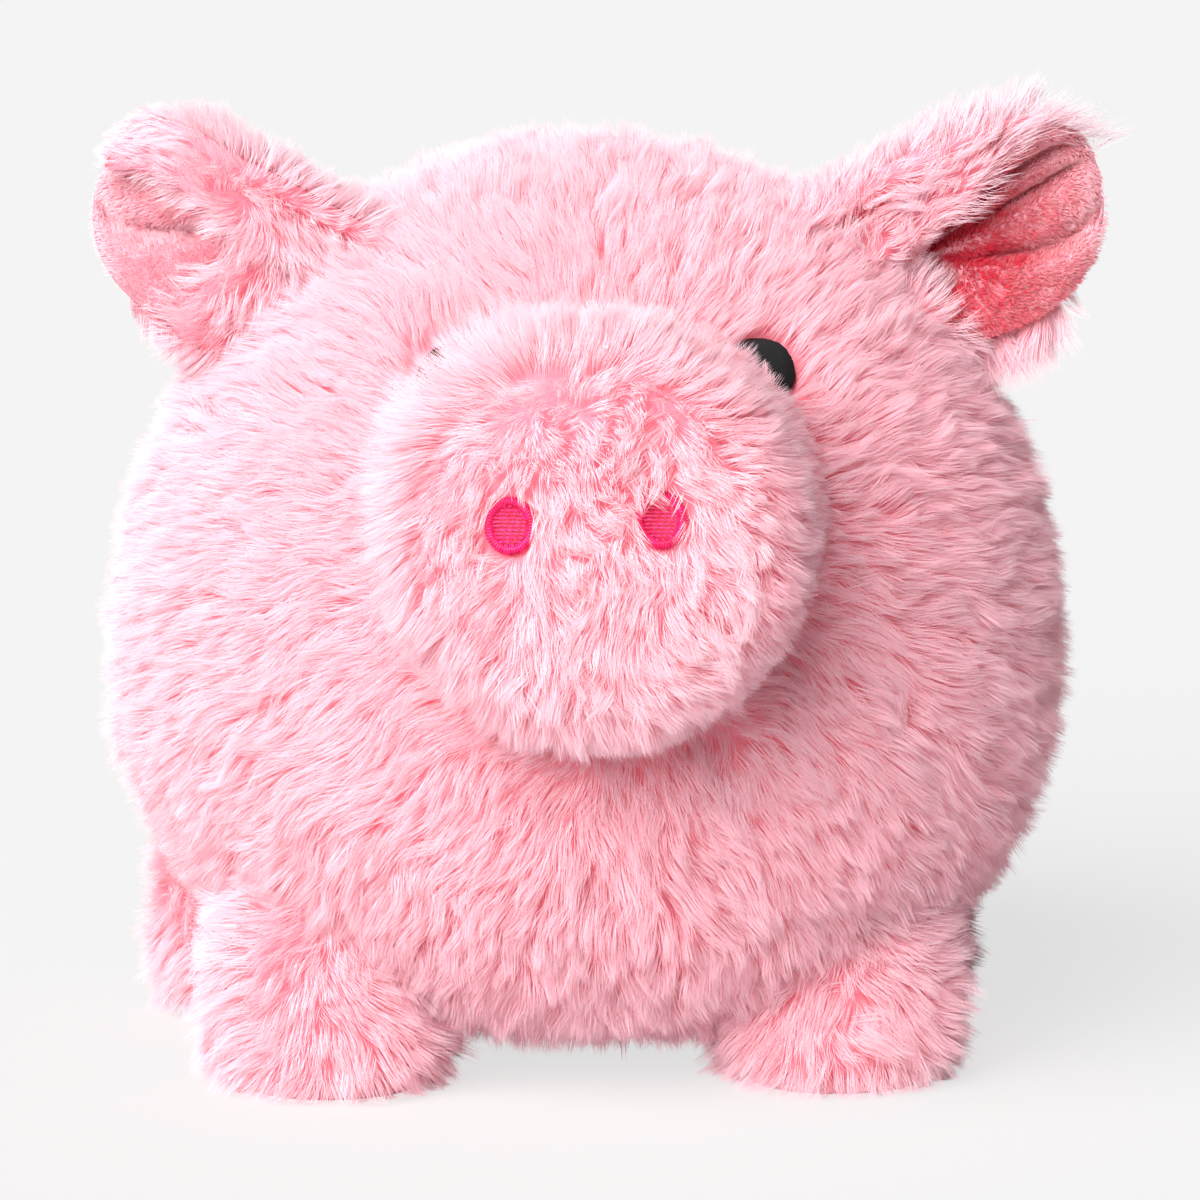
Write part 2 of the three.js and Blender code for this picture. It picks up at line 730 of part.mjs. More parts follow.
function addBody() {
  const slot = slotRoom();
  const shell = bodySolid(0).subtract(fillSolid(-skinThickness)).subtract(slot);
  const lensLow = bellyClearance - skinThickness;
  const panelLens = lensOutline(bellyPanelWidth - seamGap, bellyPanelLength - seamGap);
  const bellyLens = lensOutline(bellyPanelWidth + seamGap, bellyPanelLength + seamGap);
  const panel = shell.intersect(prism(panelLens, lensLow, widestLevel)).subtract(outletRoom());
  let sides = shell.subtract(prism(bellyLens, lensLow, widestLevel));
  for (const frame of eyeFrames) {
    sides = sides.subtract(stitchRoom(bodySolid, eyeWidth, eyeHeight, frame));
  }
  const left = sides.subtract(halfSpace('x', -seamGap / 2, true));
  const right = sides.subtract(halfSpace('x', seamGap / 2, false));
  const filling = fillSolid(-skinThickness - seamGap).subtract(canisterRoom()).subtract(slot);
  piggyBank.add(pieceMesh('body_skin_left', left, longPile));
  piggyBank.add(pieceMesh('body_skin_right', right, longPile));
  piggyBank.add(pieceMesh('belly_panel', panel, longPile));
  piggyBank.add(pieceMesh('body_stuffing', filling, fibreFill));
  ['eye_left', 'eye_right'].forEach((name, i) => {
    const patch = stitchPatch(bodySolid, eyeWidth, eyeHeight, eyeFrames[i]);
    piggyBank.add(pieceMesh(name, patch, blackThread));
  });
}

function addBank() {
  piggyBank.add(pieceMesh('canister_lid', canisterLidSolid(), clearWhite));
  piggyBank.add(pieceMesh('canister_wall', canisterWallSolid(), clearWhite));
  piggyBank.add(pieceMesh('canister_funnel', canisterFunnelSolid(), clearWhite));
  piggyBank.add(pieceMesh('canister_neck', canisterNeckSolid(), clearWhite));
  piggyBank.add(pieceMesh('slot_frame', slotFrameSolid(), pinkPlastic));
  piggyBank.add(pieceMesh('slot_backing_plate', backingPlateSolid(), clearWhite));
  piggyBank.add(pieceMesh('outlet_collar', collarSolid(), pinkPlastic));
  piggyBank.add(pieceMesh('stopper', stopperSolid(), softRubber));
}

function addSnout() {
  const body = bodySolid(fitClearance);
  const shell = snoutSolid(0).subtract(snoutSolid(-snoutSkin)).subtract(body);
  const wall = shell.subtract(halfSpace('z', snoutSeamAt - seamGap / 2, true, snoutFrame));
  let face = shell.subtract(halfSpace('z', snoutSeamAt + seamGap / 2, false, snoutFrame));
  for (const frame of nostrilFrames) {
    face = face.subtract(stitchRoom(snoutSolid, nostrilWidth, nostrilHeight, frame));
  }
  piggyBank.add(pieceMesh('snout_wall', wall, longPile));
  piggyBank.add(pieceMesh('snout_disc', face, longPile));
  piggyBank.add(pieceMesh('snout_stuffing', snoutSolid(-snoutSkin - seamGap).subtract(body), fibreFill));
  ['nostril_left', 'nostril_right'].forEach((name, i) => {
    const patch = stitchPatch(snoutSolid, nostrilWidth, nostrilHeight, nostrilFrames[i]);
    piggyBank.add(pieceMesh(name, patch, magentaThread));
  });
}

function addEar(ear) {
  const frame = earFrame(ear);
  const swept = sweptBody(frame.hinge, earFlopRange);
  const outer = earLayer(ear, frame, -earOuterThickness - seamGap / 2, -seamGap / 2);
  const lining = earLayer(ear, frame, seamGap / 2, seamGap / 2 + earLiningThickness);
  piggyBank.add(pieceMesh(`${ear.name}_outer`, outer.subtract(swept), longPile));
  piggyBank.add(pieceMesh(`${ear.name}_lining`, lining.subtract(swept), shortPile));
  piggyBank.userData[`${ear.name}_flop`] = frame.hinge;
}

function addLeg(leg) {
  const body = bodySolid(fitClearance);
  const outside = legSolid(0, leg.x, leg.y).subtract(body);
  const inside = legSolid(-legSkin, leg.x, leg.y);
  const filling = legSolid(-legSkin - seamGap, leg.x, leg.y).subtract(body);
  const sole = outside.subtract(halfSpace('z', soleThickness, true));
  const aboveSole = halfSpace('z', soleThickness + seamGap, false);
  piggyBank.add(pieceMesh(`${leg.name}_leg`, outside.subtract(inside).subtract(aboveSole), longPile));
  piggyBank.add(pieceMesh(`${leg.name}_sole`, sole, longPile));
  piggyBank.add(pieceMesh(`${leg.name}_leg_stuffing`, filling.subtract(aboveSole), fibreFill));
}

function addTail() {
  const tail = tailSolid().subtract(sweptBody(tailHinge, tailSwingRange));
  piggyBank.add(pieceMesh('tail', tail, longPile));
  piggyBank.userData.tail_swing = tailHinge;
}

addBody();
addBank();
addSnout();
ears.forEach(addEar);
legs.forEach(addLeg);
addTail();

// Origin at the middle of the footprint, on the floor
const extent = new THREE.Box3().setFromObject(piggyBank);
const middle = extent.getCenter(new THREE.Vector3());
piggyBank.position.set(-middle.x, -middle.y, -extent.min.z);

export default piggyBank;
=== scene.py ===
"""Plush piggy bank: cloth, fur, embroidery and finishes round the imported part. Metres, +Z up, facing -Y."""
import math

import bmesh
import bpy
import numpy as np
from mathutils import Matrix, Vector, kdtree


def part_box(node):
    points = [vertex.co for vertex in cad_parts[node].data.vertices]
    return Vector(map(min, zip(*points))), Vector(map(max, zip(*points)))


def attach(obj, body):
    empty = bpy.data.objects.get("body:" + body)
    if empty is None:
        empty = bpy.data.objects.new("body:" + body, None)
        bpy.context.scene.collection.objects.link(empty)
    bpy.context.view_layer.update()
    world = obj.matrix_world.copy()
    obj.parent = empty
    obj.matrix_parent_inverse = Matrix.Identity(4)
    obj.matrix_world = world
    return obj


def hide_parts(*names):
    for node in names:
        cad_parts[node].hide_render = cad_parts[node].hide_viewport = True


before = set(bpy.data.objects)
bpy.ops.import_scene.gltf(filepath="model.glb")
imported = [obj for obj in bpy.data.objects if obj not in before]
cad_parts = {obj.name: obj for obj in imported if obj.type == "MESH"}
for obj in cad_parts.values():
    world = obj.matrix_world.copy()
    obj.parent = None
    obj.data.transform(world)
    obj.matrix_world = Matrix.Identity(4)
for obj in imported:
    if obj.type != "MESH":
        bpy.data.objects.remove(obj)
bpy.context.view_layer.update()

# Body, read from the frame: an ellipse in plan, fuller below its widest level than above it
left_low, left_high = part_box("body_skin_left")
right_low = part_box("body_skin_right")[0]
BELLY_CLEARANCE = 0.005
CROWN_FULLNESS = 2.0
BELLY_FULLNESS = 2.3
SEAM_X = (left_high.x + right_low.x) / 2
MIDDLE_Y = (left_low.y + left_high.y) / 2
WIDEST_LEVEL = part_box("belly_panel")[1].z
CENTRE = np.array([SEAM_X, MIDDLE_Y, WIDEST_LEVEL])
HALF_WIDTH = SEAM_X - left_low.x
HALF_DEPTH = (left_high.y - left_low.y) / 2
CROWN_RISE = left_high.z - WIDEST_LEVEL
BELLY_RISE = WIDEST_LEVEL - BELLY_CLEARANCE
BELLY_LENGTH = 0.188
BELLY_WIDTH = 0.092
BODY_GRID = (41, 96)
BELLY_ROWS = 25

# Cloth: how far its face lies under the part's surface, which is part of the way up the pile
CLOTH_DEPTH = 0.0045
CLOTH_THICKNESS = 0.0025
MERGE_DISTANCE = 1e-6

# Snout: a barrel turned to one side, ending in a crowned disc
SNOUT_LEVEL = 0.121
SNOUT_RADIUS = 0.041
SNOUT_REACH = 0.040
SNOUT_SWELL_AT = 0.014
SNOUT_FULLNESS = 3.0
SNOUT_SEAM_AT = 0.031
SNOUT_TURN = math.radians(12)
SNOUT_ROLL = math.radians(3.4)
SNOUT_CLOTH_DEPTH = 0.0038
SNOUT_PINCH = 0.004
SNOUT_ROOT = 0.018
SNOUT_SEAM_TUCK = 0.002
SNOUT_STEPS = 28
SNOUT_SIDES = 72

# Nap of the snout, in its own axes: down the disc, and back along the barrel
DISC_NAP_FROM = 0.024
DISC_NAP_SPAN = 0.010
DISC_SPREAD = 0.45
DISC_TOP_TONE = 0.2
FALLING = np.array([0.3, -0.9, 0])
BACKWARD = np.array([0, 0, -1.0])
BARREL_FALL = 0.3

# Pile of the barrel: longer to one side and in one tuft, and shorter at the seam with the head
BARREL_LONG_SIDE = math.radians(150)
BARREL_LONG_GAIN = 0.3
BARREL_TUFT_AT = math.radians(130)
BARREL_TUFT_SPAN = math.radians(28)
BARREL_TUFT_GAIN = 0.6
BARREL_SEAM_LENGTH = 0.6

# Legs: stubby swollen tubes
LEG_RADIUS = 0.026
LEG_HEIGHT = 0.056
LEG_SWELL_AT = 0.014
LEG_FULLNESS = 2.6
LEG_CLOTH_DEPTH = 0.0045
LEG_ROOT_DEPTH = 0.006
LEG_LOW_EDGE = 0.0035
LEG_TAPER = 0.004
LEG_WHORL_LEVEL = 0.020
LEG_WHORL_REACH = 0.022
LEG_FALL = np.array([0, 0, -0.9])
LEG_STEPS = 22
LEG_SIDES = 48
SOLE_MARGIN = 0.0055
SOLE_PROFILE = (
    (0.0, 0.0002), (0.7, 0.0), (0.93, 0.0001), (0.99, 0.0012),
    (1.0, 0.0026), (0.97, 0.0042), (0.9, 0.005), (0.0, 0.005),
)
LEGS = ("front_left", "front_right", "rear_left", "rear_right")

# Ears: leaves rolled forwards along both edges. A place is a share of the length and an edge from -1 to 1
EAR_SPACING = 0.120
EAR_FORWARD = 0.012
EAR_BASE_WIDTH = 0.048
EAR_WIDTH = 0.052
EAR_WIDEST_AT = 0.45
EAR_ROOT = 0.016
EAR_FACING = math.radians(20)
EAR_MARGIN = {1: 0.004, -1: 0.0005}
EAR_TIP_MARGIN = 0.0005
EAR_LEAST_HALF = 0.0003
EAR_BACK_DEPTHS = (-0.002, -0.0003)
EAR_LINING_DEPTHS = (0.0012, 0.0003)
EAR_LIP_RADIUS = 0.0025
EAR_LIP_RISES = (0.0045, 0.0035)
EAR_LIP_WRAP = 0.5
EAR_LIP_FULL = 0.5
EAR_LEAF_GRID = (61, 81)
EAR_LIP_GRID = (37, 19)
EAR_RIM_POWER = 8
EAR_RIM_THINNING = 0.55
EAR_RIM_SLACK = 0.004
EAR_RIM_SEED = 17
EAR_LAYER_SEEDS = 10
EAR_TIP_FROM = 0.6
EAR_TIP_SPAN = 0.35
EAR_WHORL_DEPTH = 0.006
EAR_APEX_DEPTH = 0.002
EAR_FOLD_DEPTH = 0.0045
EAR_FOLD_REACH = 0.015
EAR_CREASE_WIDTH = math.radians(6)
EAR_HEM = (0.12, 0.62)
EAR_HEM_COLUMNS = 12
EAR_TRIM = 0.22

# Nap of the ears: to the tip, off the upper edge, off or back from the lower edge, and drooping at the tip
EAR_TO_TIP = 0.7
EAR_OFF_UPPER = 0.5
EAR_OFF_LOWER = (1.2, -0.4)
EAR_DROOP = 1.5
LIP_TO_TIP = 0.6
HEM_TO_ROOT = 0.35

# Each ear's own values. Opening is each lip's free border. The lining pile carries painted shade: it goes
# from the first of the tones to the second over the given distances from the apex, so that it is darker and
# redder deep in the pocket. Tip and hem are factors on the pile's length
EARS = {
    "ear_left": {
        "side": -1, "length": 0.044, "lift": 30, "upper": 105, "lower": 60, "whorl": (0.37, 0.9),
        "opening": {
            1: ((0.14, 0.25), (0.45, 0.6), (0.85, 0.6), (1.0, 0.45)),
            -1: ((0.14, 0.25), (0.30, -0.5), (0.40, -1.0)),
        },
        "bulge": {1: 0.006, -1: 0.003}, "band": 0, "creases": (12, -38), "fringe": 0.5,
        "tones": (0.8, 1.0), "pocket_shade_reach": (0.0, 0.018), "tip": 0.45, "hem": 0.6,
    },
    "ear_right": {
        "side": 1, "length": 0.048, "lift": 25, "upper": 75, "lower": 45, "whorl": (-0.1, -0.6),
        "opening": {
            1: ((0.10, -0.15), (0.26, 0.2), (0.44, 0.55), (0.75, 0.88), (1.0, 0.97)),
            -1: ((0.10, -0.15), (0.13, -0.8), (0.16, -1.0)),
        },
        "bulge": {1: 0.004, -1: 0.002}, "band": 4, "creases": (27, 9, -22), "fringe": 0.7,
        "tones": (0.0, 0.8), "pocket_shade_reach": (0.014, 0.044), "tip": 1.2, "hem": 1.1,
    },
}

# Tail: a curl that widens as it goes
TAIL_LEVEL = 0.108
TAIL_RADIUS = 0.005
TAIL_COIL_RADIUS = 0.008
TAIL_TURNS = 1.3
TAIL_REACH = 0.028
TAIL_ROOT = 0.006
TAIL_OPEN_AT = 0.5
TAIL_CLOTH_DEPTH = 0.0015
TAIL_POINTS = 49
TAIL_SIDES = 12

# Camera: a long lens a little left of the pig and above its middle
CAMERA_AZIMUTH = math.radians(-3.5)
CAMERA_ELEVATION = math.radians(8)
CAMERA_DISTANCE = 1.6
CAMERA_LENS = 232.0
CAMERA_TARGET = Vector((0.0009, MIDDLE_Y, 0.0934))

# Strands: where root, ring and tip lie along them, and how they vary by tuft, by lock and singly
STRAND_RINGS = (0.0, 0.45, 1.0)
STRANDS_PER_PIECE = 32000
STRAND_SIDEWAYS = (0.31, 0.52, 0.79)
LOWEST_STRAND = 0.0004
MAP_HALF_WIDTH = 0.004
LOCK_BLUR = 0.0004
YAW_SPREAD = (0.26, 0.20, 0.10)
LIFT_SPREAD = (0.14, 0.12, 0.06)
LENGTH_SPREAD = (0.05, 0.08, 0.06)
TONE_SPREAD = (0.06, 0.07, 0.09)
LENGTH_LIMITS = (0.5, 1.3)
TONE_LIMITS = (0.02, 0.98)
LEAST_LAID = 0.75
SWAY = 0.08
SWAY_SCALE = 0.6
PULL_RANGE = (0.55, 1.0)
PULL_POWER = 1.4
LOOSE_SHARE = 0.03
STRAND_SEEDS = 100


# Vectors
def unit(vectors):
    return vectors / np.maximum(np.linalg.norm(vectors, axis=-1, keepdims=True), 1e-12)


def along_surface(vectors, normals):
    return unit(vectors - normals * np.sum(vectors * normals, axis=-1, keepdims=True))


def ripples(points, wavelength, seed, count=7):
    """Smooth noise of about unit size: a few sine waves in directions drawn from the seed."""
    rng = np.random.default_rng(seed)
    waves = unit(rng.normal(size=(count, 3))) * (2 * math.pi / wavelength)
    waves *= rng.uniform(0.6, 1.5, size=(count, 1))
    phases = rng.uniform(0, 2 * math.pi, size=count)
    return np.sin(points @ waves.T + phases).sum(axis=-1) * math.sqrt(2 / count)


# Body surface
def body_curve(heights):
    """Rise and power of the body's curve, which differ above and below its widest level."""
    rising = heights > 0
    return np.where(rising, CROWN_RISE, BELLY_RISE), np.where(rising, CROWN_FULLNESS, BELLY_FULLNESS)


def body_measure(local, offset):
    """How far points from the centre lie out, raised to the curve's power, where 1 is the offset surface."""
    rise, power = body_curve(local[..., 2])
    plan = np.hypot(local[..., 0] / (HALF_WIDTH + offset), local[..., 1] / (HALF_DEPTH + offset))
    return plan ** power + np.abs(local[..., 2] / (rise + offset)) ** power, power


def body_points(directions, offset):
    measure, power = body_measure(directions, offset)
    return CENTRE + directions * (measure ** (-1 / power))[..., None]


def outside_body(points, depth):
    """True where points lie outside the body's surface lowered by a depth."""
    return body_measure(points - CENTRE, -depth)[0] > 1


def body_normals(points):
    local = points - CENTRE
    rise, power = body_curve(local[..., 2])
    plan = np.hypot(local[..., 0] / HALF_WIDTH, local[..., 1] / HALF_DEPTH)
    spread = np.maximum(plan, 1e-6) ** (power - 2)
    across = spread * local[..., 0] / HALF_WIDTH ** 2
    deep = spread * local[..., 1] / HALF_DEPTH ** 2
    upward = np.sign(local[..., 2]) * np.abs(local[..., 2]) ** (power - 1) / rise ** power
    return unit(np.stack([across, deep, upward], axis=-1))


def body_front(x, level):
    """Point on the front of the body at a distance from the seam and a level."""
    rise, power = (float(value) for value in body_curve(level - WIDEST_LEVEL))
    share = (1 - (abs(level - WIDEST_LEVEL) / rise) ** power) ** (1 / power)
    y = -HALF_DEPTH * math.sqrt(share ** 2 - (x / HALF_WIDTH) ** 2)
    return np.array([SEAM_X + x, MIDDLE_Y + y, level])


def belly_half_width(y):
    """Half the width of the belly panel, a lens of two arcs, at a distance along it."""
    half = BELLY_WIDTH / 2
    radius = ((BELLY_LENGTH / 2) ** 2 + half ** 2) / (2 * half)
    inside = np.maximum(radius ** 2 - y ** 2, 0)
    return np.maximum(np.sqrt(inside) - (radius - half), 0)


def seam_directions(side, angles):
    """Directions of a side panel's edge: the centre seam above, the belly panel's edge below."""
    directions = np.stack([0 * angles, np.cos(angles), np.sin(angles)], axis=-1)
    for _ in range(12):
        local = body_points(directions, -CLOTH_DEPTH) - CENTRE
        width = np.where(local[:, 2] < 0, belly_half_width(local[:, 1]), 0)
        directions = unit(np.stack([side * width, local[:, 1], local[:, 2]], axis=-1))
    return directions


def arc_between(first, second, shares):
    """Directions on the great arcs from first to second: one row for each share."""
    angle = np.arccos(np.clip(np.sum(first * second, axis=-1), -1, 1))
    scale = np.maximum(np.sin(angle), 1e-9)
    rows = []
    for share in shares:
        near = (np.sin((1 - share) * angle) / scale)[:, None]
        far = (np.sin(share * angle) / scale)[:, None]
        rows.append(unit(first * near + second * far))
    return np.array(rows)


# Meshes
def full_turn(count):
    return np.linspace(0, 2 * math.pi, count + 1)[:-1]


def rings(radii, levels, sides):
    """Grid of points on level rings about the z axis."""
    turn = full_turn(sides)
    grid = np.empty((len(levels), sides, 3))
    grid[..., 0] = radii[:, None] * np.cos(turn)
    grid[..., 1] = radii[:, None] * np.sin(turn)
    grid[..., 2] = levels[:, None]
    return grid


def dome(radius, rise, fullness, steps):
    """Radii and rises of a swollen dome from its widest level to its top."""
    angle = np.linspace(0, math.pi / 2, steps)
    return radius * np.cos(angle) ** (2 / fullness), rise * np.sin(angle) ** (2 / fullness)


def grid_faces(rows, columns, wrapped):
    across = columns if wrapped else columns - 1
    i, j = np.meshgrid(np.arange(rows - 1), np.arange(across), indexing="ij")
    after = (j + 1) % columns
    corners = (i * columns + j, i * columns + after, (i + 1) * columns + after, (i + 1) * columns + j)
    return np.stack([c.ravel() for c in corners], axis=-1)


def grid_normals(grid, wrapped):
    """Unit normals of a grid of points, on the side from which rows then columns turn left."""
    points = grid.reshape(-1, 3)
    quads = grid_faces(*grid.shape[:2], wrapped)
    corners = points[quads]
    faces = np.cross(corners[:, 2] - corners[:, 0], corners[:, 3] - corners[:, 1])
    normals = np.zeros_like(points)
    for k in range(4):
        np.add.at(normals, quads[:, k], faces)
    return unit(normals).reshape(grid.shape)


def linked(name, data):
    obj = bpy.data.objects.new(name, data)
    bpy.context.scene.collection.objects.link(obj)
    return obj


def new_object(name, vertices, faces):
    mesh = bpy.data.meshes.new(name)
    mesh.from_pydata([tuple(v) for v in vertices], [], [tuple(int(k) for k in f) for f in faces])
    mesh.polygons.foreach_set("use_smooth", [True] * len(mesh.polygons))
    return linked(name, mesh)


def clean_mesh(obj):
    """Merges points that coincide, drops faces without area and turns all faces outwards."""
    work = bmesh.new()
    work.from_mesh(obj.data)
    bmesh.ops.remove_doubles(work, verts=work.verts, dist=MERGE_DISTANCE)
    bmesh.ops.dissolve_degenerate(work, dist=MERGE_DISTANCE / 10, edges=work.edges)
    bmesh.ops.recalc_face_normals(work, faces=work.faces)
    work.to_mesh(obj.data)
    work.free()
    obj.data.polygons.foreach_set("use_smooth", [True] * len(obj.data.polygons))


def shell(name, outer, inner, wrapped):
    """Closed cloth between an outer and an inner grid of points."""
    rows, columns = outer.shape[:2]
    count = rows * columns
    quads = grid_faces(rows, columns, wrapped)
    faces = [quads, quads[:, ::-1] + count]
    for row in (0, rows - 1):
        edge = row * columns + np.arange(columns)
        after = np.roll(edge, -1)
        if not wrapped:
            edge, after = edge[:-1], after[:-1]
        faces.append(np.stack([edge, after, after + count, edge + count], axis=-1))
    if not wrapped:
        for column in (0, columns - 1):
            edge = np.arange(rows - 1) * columns + column
            faces.append(np.stack([edge, edge + columns, edge + columns + count, edge + count], axis=-1))
    points = np.concatenate([outer.reshape(-1, 3), inner.reshape(-1, 3)])
    obj = new_object(name, points, np.concatenate(faces))
    clean_mesh(obj)
    return obj


def tube(path, radius, sides=6):
    """Points and faces of a closed round tube that tapers to nothing at both ends."""
    path = np.asarray(path, float)
    heading = unit(np.gradient(path, axis=0))
    reference = np.where(np.abs(heading[:, 2:3]) > 0.9, [[1.0, 0, 0]], [[0, 0, 1.0]])
    across = unit(np.cross(heading, reference))
    upward = np.cross(across, heading)
    turn = np.arange(sides) * 2 * math.pi / sides
    ring = across[1:-1, None] * np.cos(turn)[:, None] + upward[1:-1, None] * np.sin(turn)[:, None]
    rings = path[1:-1, None] + ring * radius
    count = (len(path) - 2) * sides
    points = np.concatenate([rings.reshape(-1, 3), path[:1], path[-1:]])
    faces = [list(f) for f in grid_faces(len(path) - 2, sides, True)]
    last = count - sides
    for k in range(sides):
        after = (k + 1) % sides
        faces.append([count, after, k])
        faces.append([count + 1, last + k, last + after])
    return points, faces


def joined(name, parts):
    """One object from several lists of points and faces."""
    faces = []
    count = 0
    for points, part_faces in parts:
        faces.extend([[k + count for k in face] for face in part_faces])
        count += len(points)
    return new_object(name, np.concatenate([points for points, _ in parts]), faces)


# Materials
def new_node(tree, kind, **values):
    """A shader node of a kind, with values for its inputs."""
    node = tree.nodes.new(f"ShaderNode{kind}")
    for name, value in values.items():
        node.inputs[name].default_value = value
    return node


def link(source, output, target, entry):
    """Joins an output of one node to an input of another in the same tree."""
    source.id_data.links.new(source.outputs[output], target.inputs[entry])


def material(name, roughness=0.7, specular=0.3, sheen=0.0):
    made = bpy.data.materials.new(name)
    made.use_nodes = True
    shader = made.node_tree.nodes["Principled BSDF"]
    shader.inputs["Roughness"].default_value = roughness
    shader.inputs["Specular IOR Level"].default_value = specular
    shader.inputs["Sheen Weight"].default_value = sheen
    return made, made.node_tree, shader


def linear(colour):
    """A colour given in 0 to 255 display steps, as the linear values that a shader takes."""
    steps = np.array(colour) / 255
    values = np.where(steps <= 0.04045, steps / 12.92, ((steps + 0.055) / 1.055) ** 2.4)
    return (*values, 1.0)


def ramp_node(tree, stops):
    node = new_node(tree, "ValToRGB")
    elements = node.color_ramp.elements
    while len(elements) < len(stops):
        elements.new(0.5)
    for element, (place, colour) in zip(elements, stops):
        element.position = place
        element.color = linear(colour)
    return node


def fur_material(name, dark_stops, pale_stops):
    """Colour runs from root to tip, between a darker and a paler strand by the strand's tone.
    The darker, redder roots are painted shade deep in the pile.
    """
    made, tree, shader = material(name, roughness=0.6, specular=0.05)
    shader.inputs["Diffuse Roughness"].default_value = 1.0
    where = new_node(tree, "UVMap")
    where.uv_map = "OFBake"
    split = new_node(tree, "SeparateXYZ")
    link(where, "UV", split, "Vector")
    mix = new_node(tree, "Mix")
    mix.data_type = "RGBA"
    link(split, "X", mix, "Factor")
    for entry, stops in (("A", dark_stops), ("B", pale_stops)):
        ramp = ramp_node(tree, stops)
        link(split, "Y", ramp, "Fac")
        link(ramp, "Color", mix, entry)
    link(mix, "Result", shader, "Base Color")
    return made


def mottled(name, low, high, scale, roughness, bump=0.0, distance=0.0005, **finish):
    """Two colours mixed by a fine noise, with a bump of the same grain."""
    made, tree, shader = material(name, roughness=roughness, **finish)
    noise = new_node(tree, "TexNoise", Scale=scale, Detail=4.0, Roughness=0.5)
    link(new_node(tree, "TexCoord"), "Object", noise, "Vector")
    ramp = ramp_node(tree, [(0.35, low), (0.65, high)])
    link(noise, "Fac", ramp, "Fac")
    link(ramp, "Color", shader, "Base Color")
    if bump:
        relief = new_node(tree, "Bump", Strength=bump, Distance=distance)
        link(noise, "Fac", relief, "Height")
        link(relief, "Normal", shader, "Normal")
    return made


# Both ramps run from darker, redder roots to paler tips; the darker roots are painted shade deep in the pile
LONG_FUR = fur_material(
    "long_pile",
    [(0.0, (255, 150, 169)), (0.4, (255, 203, 214)), (1.0, (255, 214, 224))],
    [(0.0, (255, 220, 229)), (0.4, (255, 233, 240)), (1.0, (255, 235, 241))],
)
# The short pile's deep red darker strand is the painted shade of the ear's pocket
SHORT_FUR = fur_material(
    "short_pile",
    [(0.0, (224, 24, 52)), (0.5, (228, 40, 68)), (1.0, (234, 66, 92))],
    [(0.0, (255, 208, 219)), (0.5, (255, 226, 234)), (1.0, (255, 236, 242))],
)
BACKING = mottled("knitted_backing", (254, 150, 169), (255, 168, 184), 900, 0.9, bump=0.4)
LINING_CLOTH = mottled("lining_cloth", (252, 176, 192), (254, 192, 206), 1200, 0.9, bump=0.3)
FELT = mottled("sole_pile", (246, 166, 182), (253, 196, 208), 700, 0.95, bump=0.6, sheen=0.2)
FIBRE = mottled("fibre_filling", (236, 234, 230), (248, 247, 244), 260, 0.95, bump=0.8, distance=0.002)
BLACK_THREAD = mottled("black_thread", (2, 2, 3), (8, 7, 9), 1500, 0.5, specular=0.25)
MAGENTA_THREAD = mottled("magenta_thread", (226, 8, 84), (255, 38, 134), 900, 0.35, specular=0.6)
PINK_PLASTIC = mottled("pink_plastic", (240, 160, 180), (244, 170, 188), 500, 0.35, bump=0.05, specular=0.5)
WHITE_PLASTIC = mottled("white_plastic", (236, 234, 230), (243, 242, 239), 400, 0.4, bump=0.05, specular=0.5)
RUBBER = mottled("stopper_rubber", (226, 221, 216), (236, 232, 227), 700, 0.6, bump=0.1, specular=0.4)


def finished(obj, finish, slot, body, *nodes, fill=None):
    """Gives a piece its material and body and hides the solids that it stands for.
    The slot and the fill are not used.
    """
    obj.data.materials.clear()
    obj.data.materials.append(finish)
    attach(obj, body)
    if nodes:
        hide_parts(*nodes)


# Fur
def scatter(grid, wrapped, style, inside):
    """Points spread evenly over a grid at a style's density, and normals that face away from inside."""
    rng = np.random.default_rng(style["seed"])
    points = grid.reshape(-1, 3)
    normals = grid_normals(grid, wrapped).reshape(-1, 3)
    quads = grid_faces(*grid.shape[:2], wrapped)
    triangles = np.concatenate([quads[:, [0, 1, 2]], quads[:, [0, 2, 3]]])
    corners = points[triangles]
    area = np.linalg.norm(np.cross(corners[:, 1] - corners[:, 0], corners[:, 2] - corners[:, 0]), axis=1) / 2
    count = int(style["density"] * area.sum())
    chosen = rng.choice(len(triangles), size=count, p=area / area.sum())
    first, second = rng.random((2, count))
    over = first + second > 1
    first = np.where(over, 1 - first, first)
    second = np.where(over, 1 - second, second)
    weights = np.stack([1 - first - second, first, second], axis=-1)[..., None]
    places = (corners[chosen] * weights).sum(axis=1)
    facing = unit((normals[triangles[chosen]] * weights).sum(axis=1))
    if np.sum(facing * (places - inside)) < 0:
        facing = -facing
    return places, facing


def nearest_of(points, centres):
    tree = kdtree.KDTree(len(centres))
    for k, centre in enumerate(centres):
        tree.insert(centre, k)
    tree.balance()
    return np.array([tree.find(point)[1] for point in points])


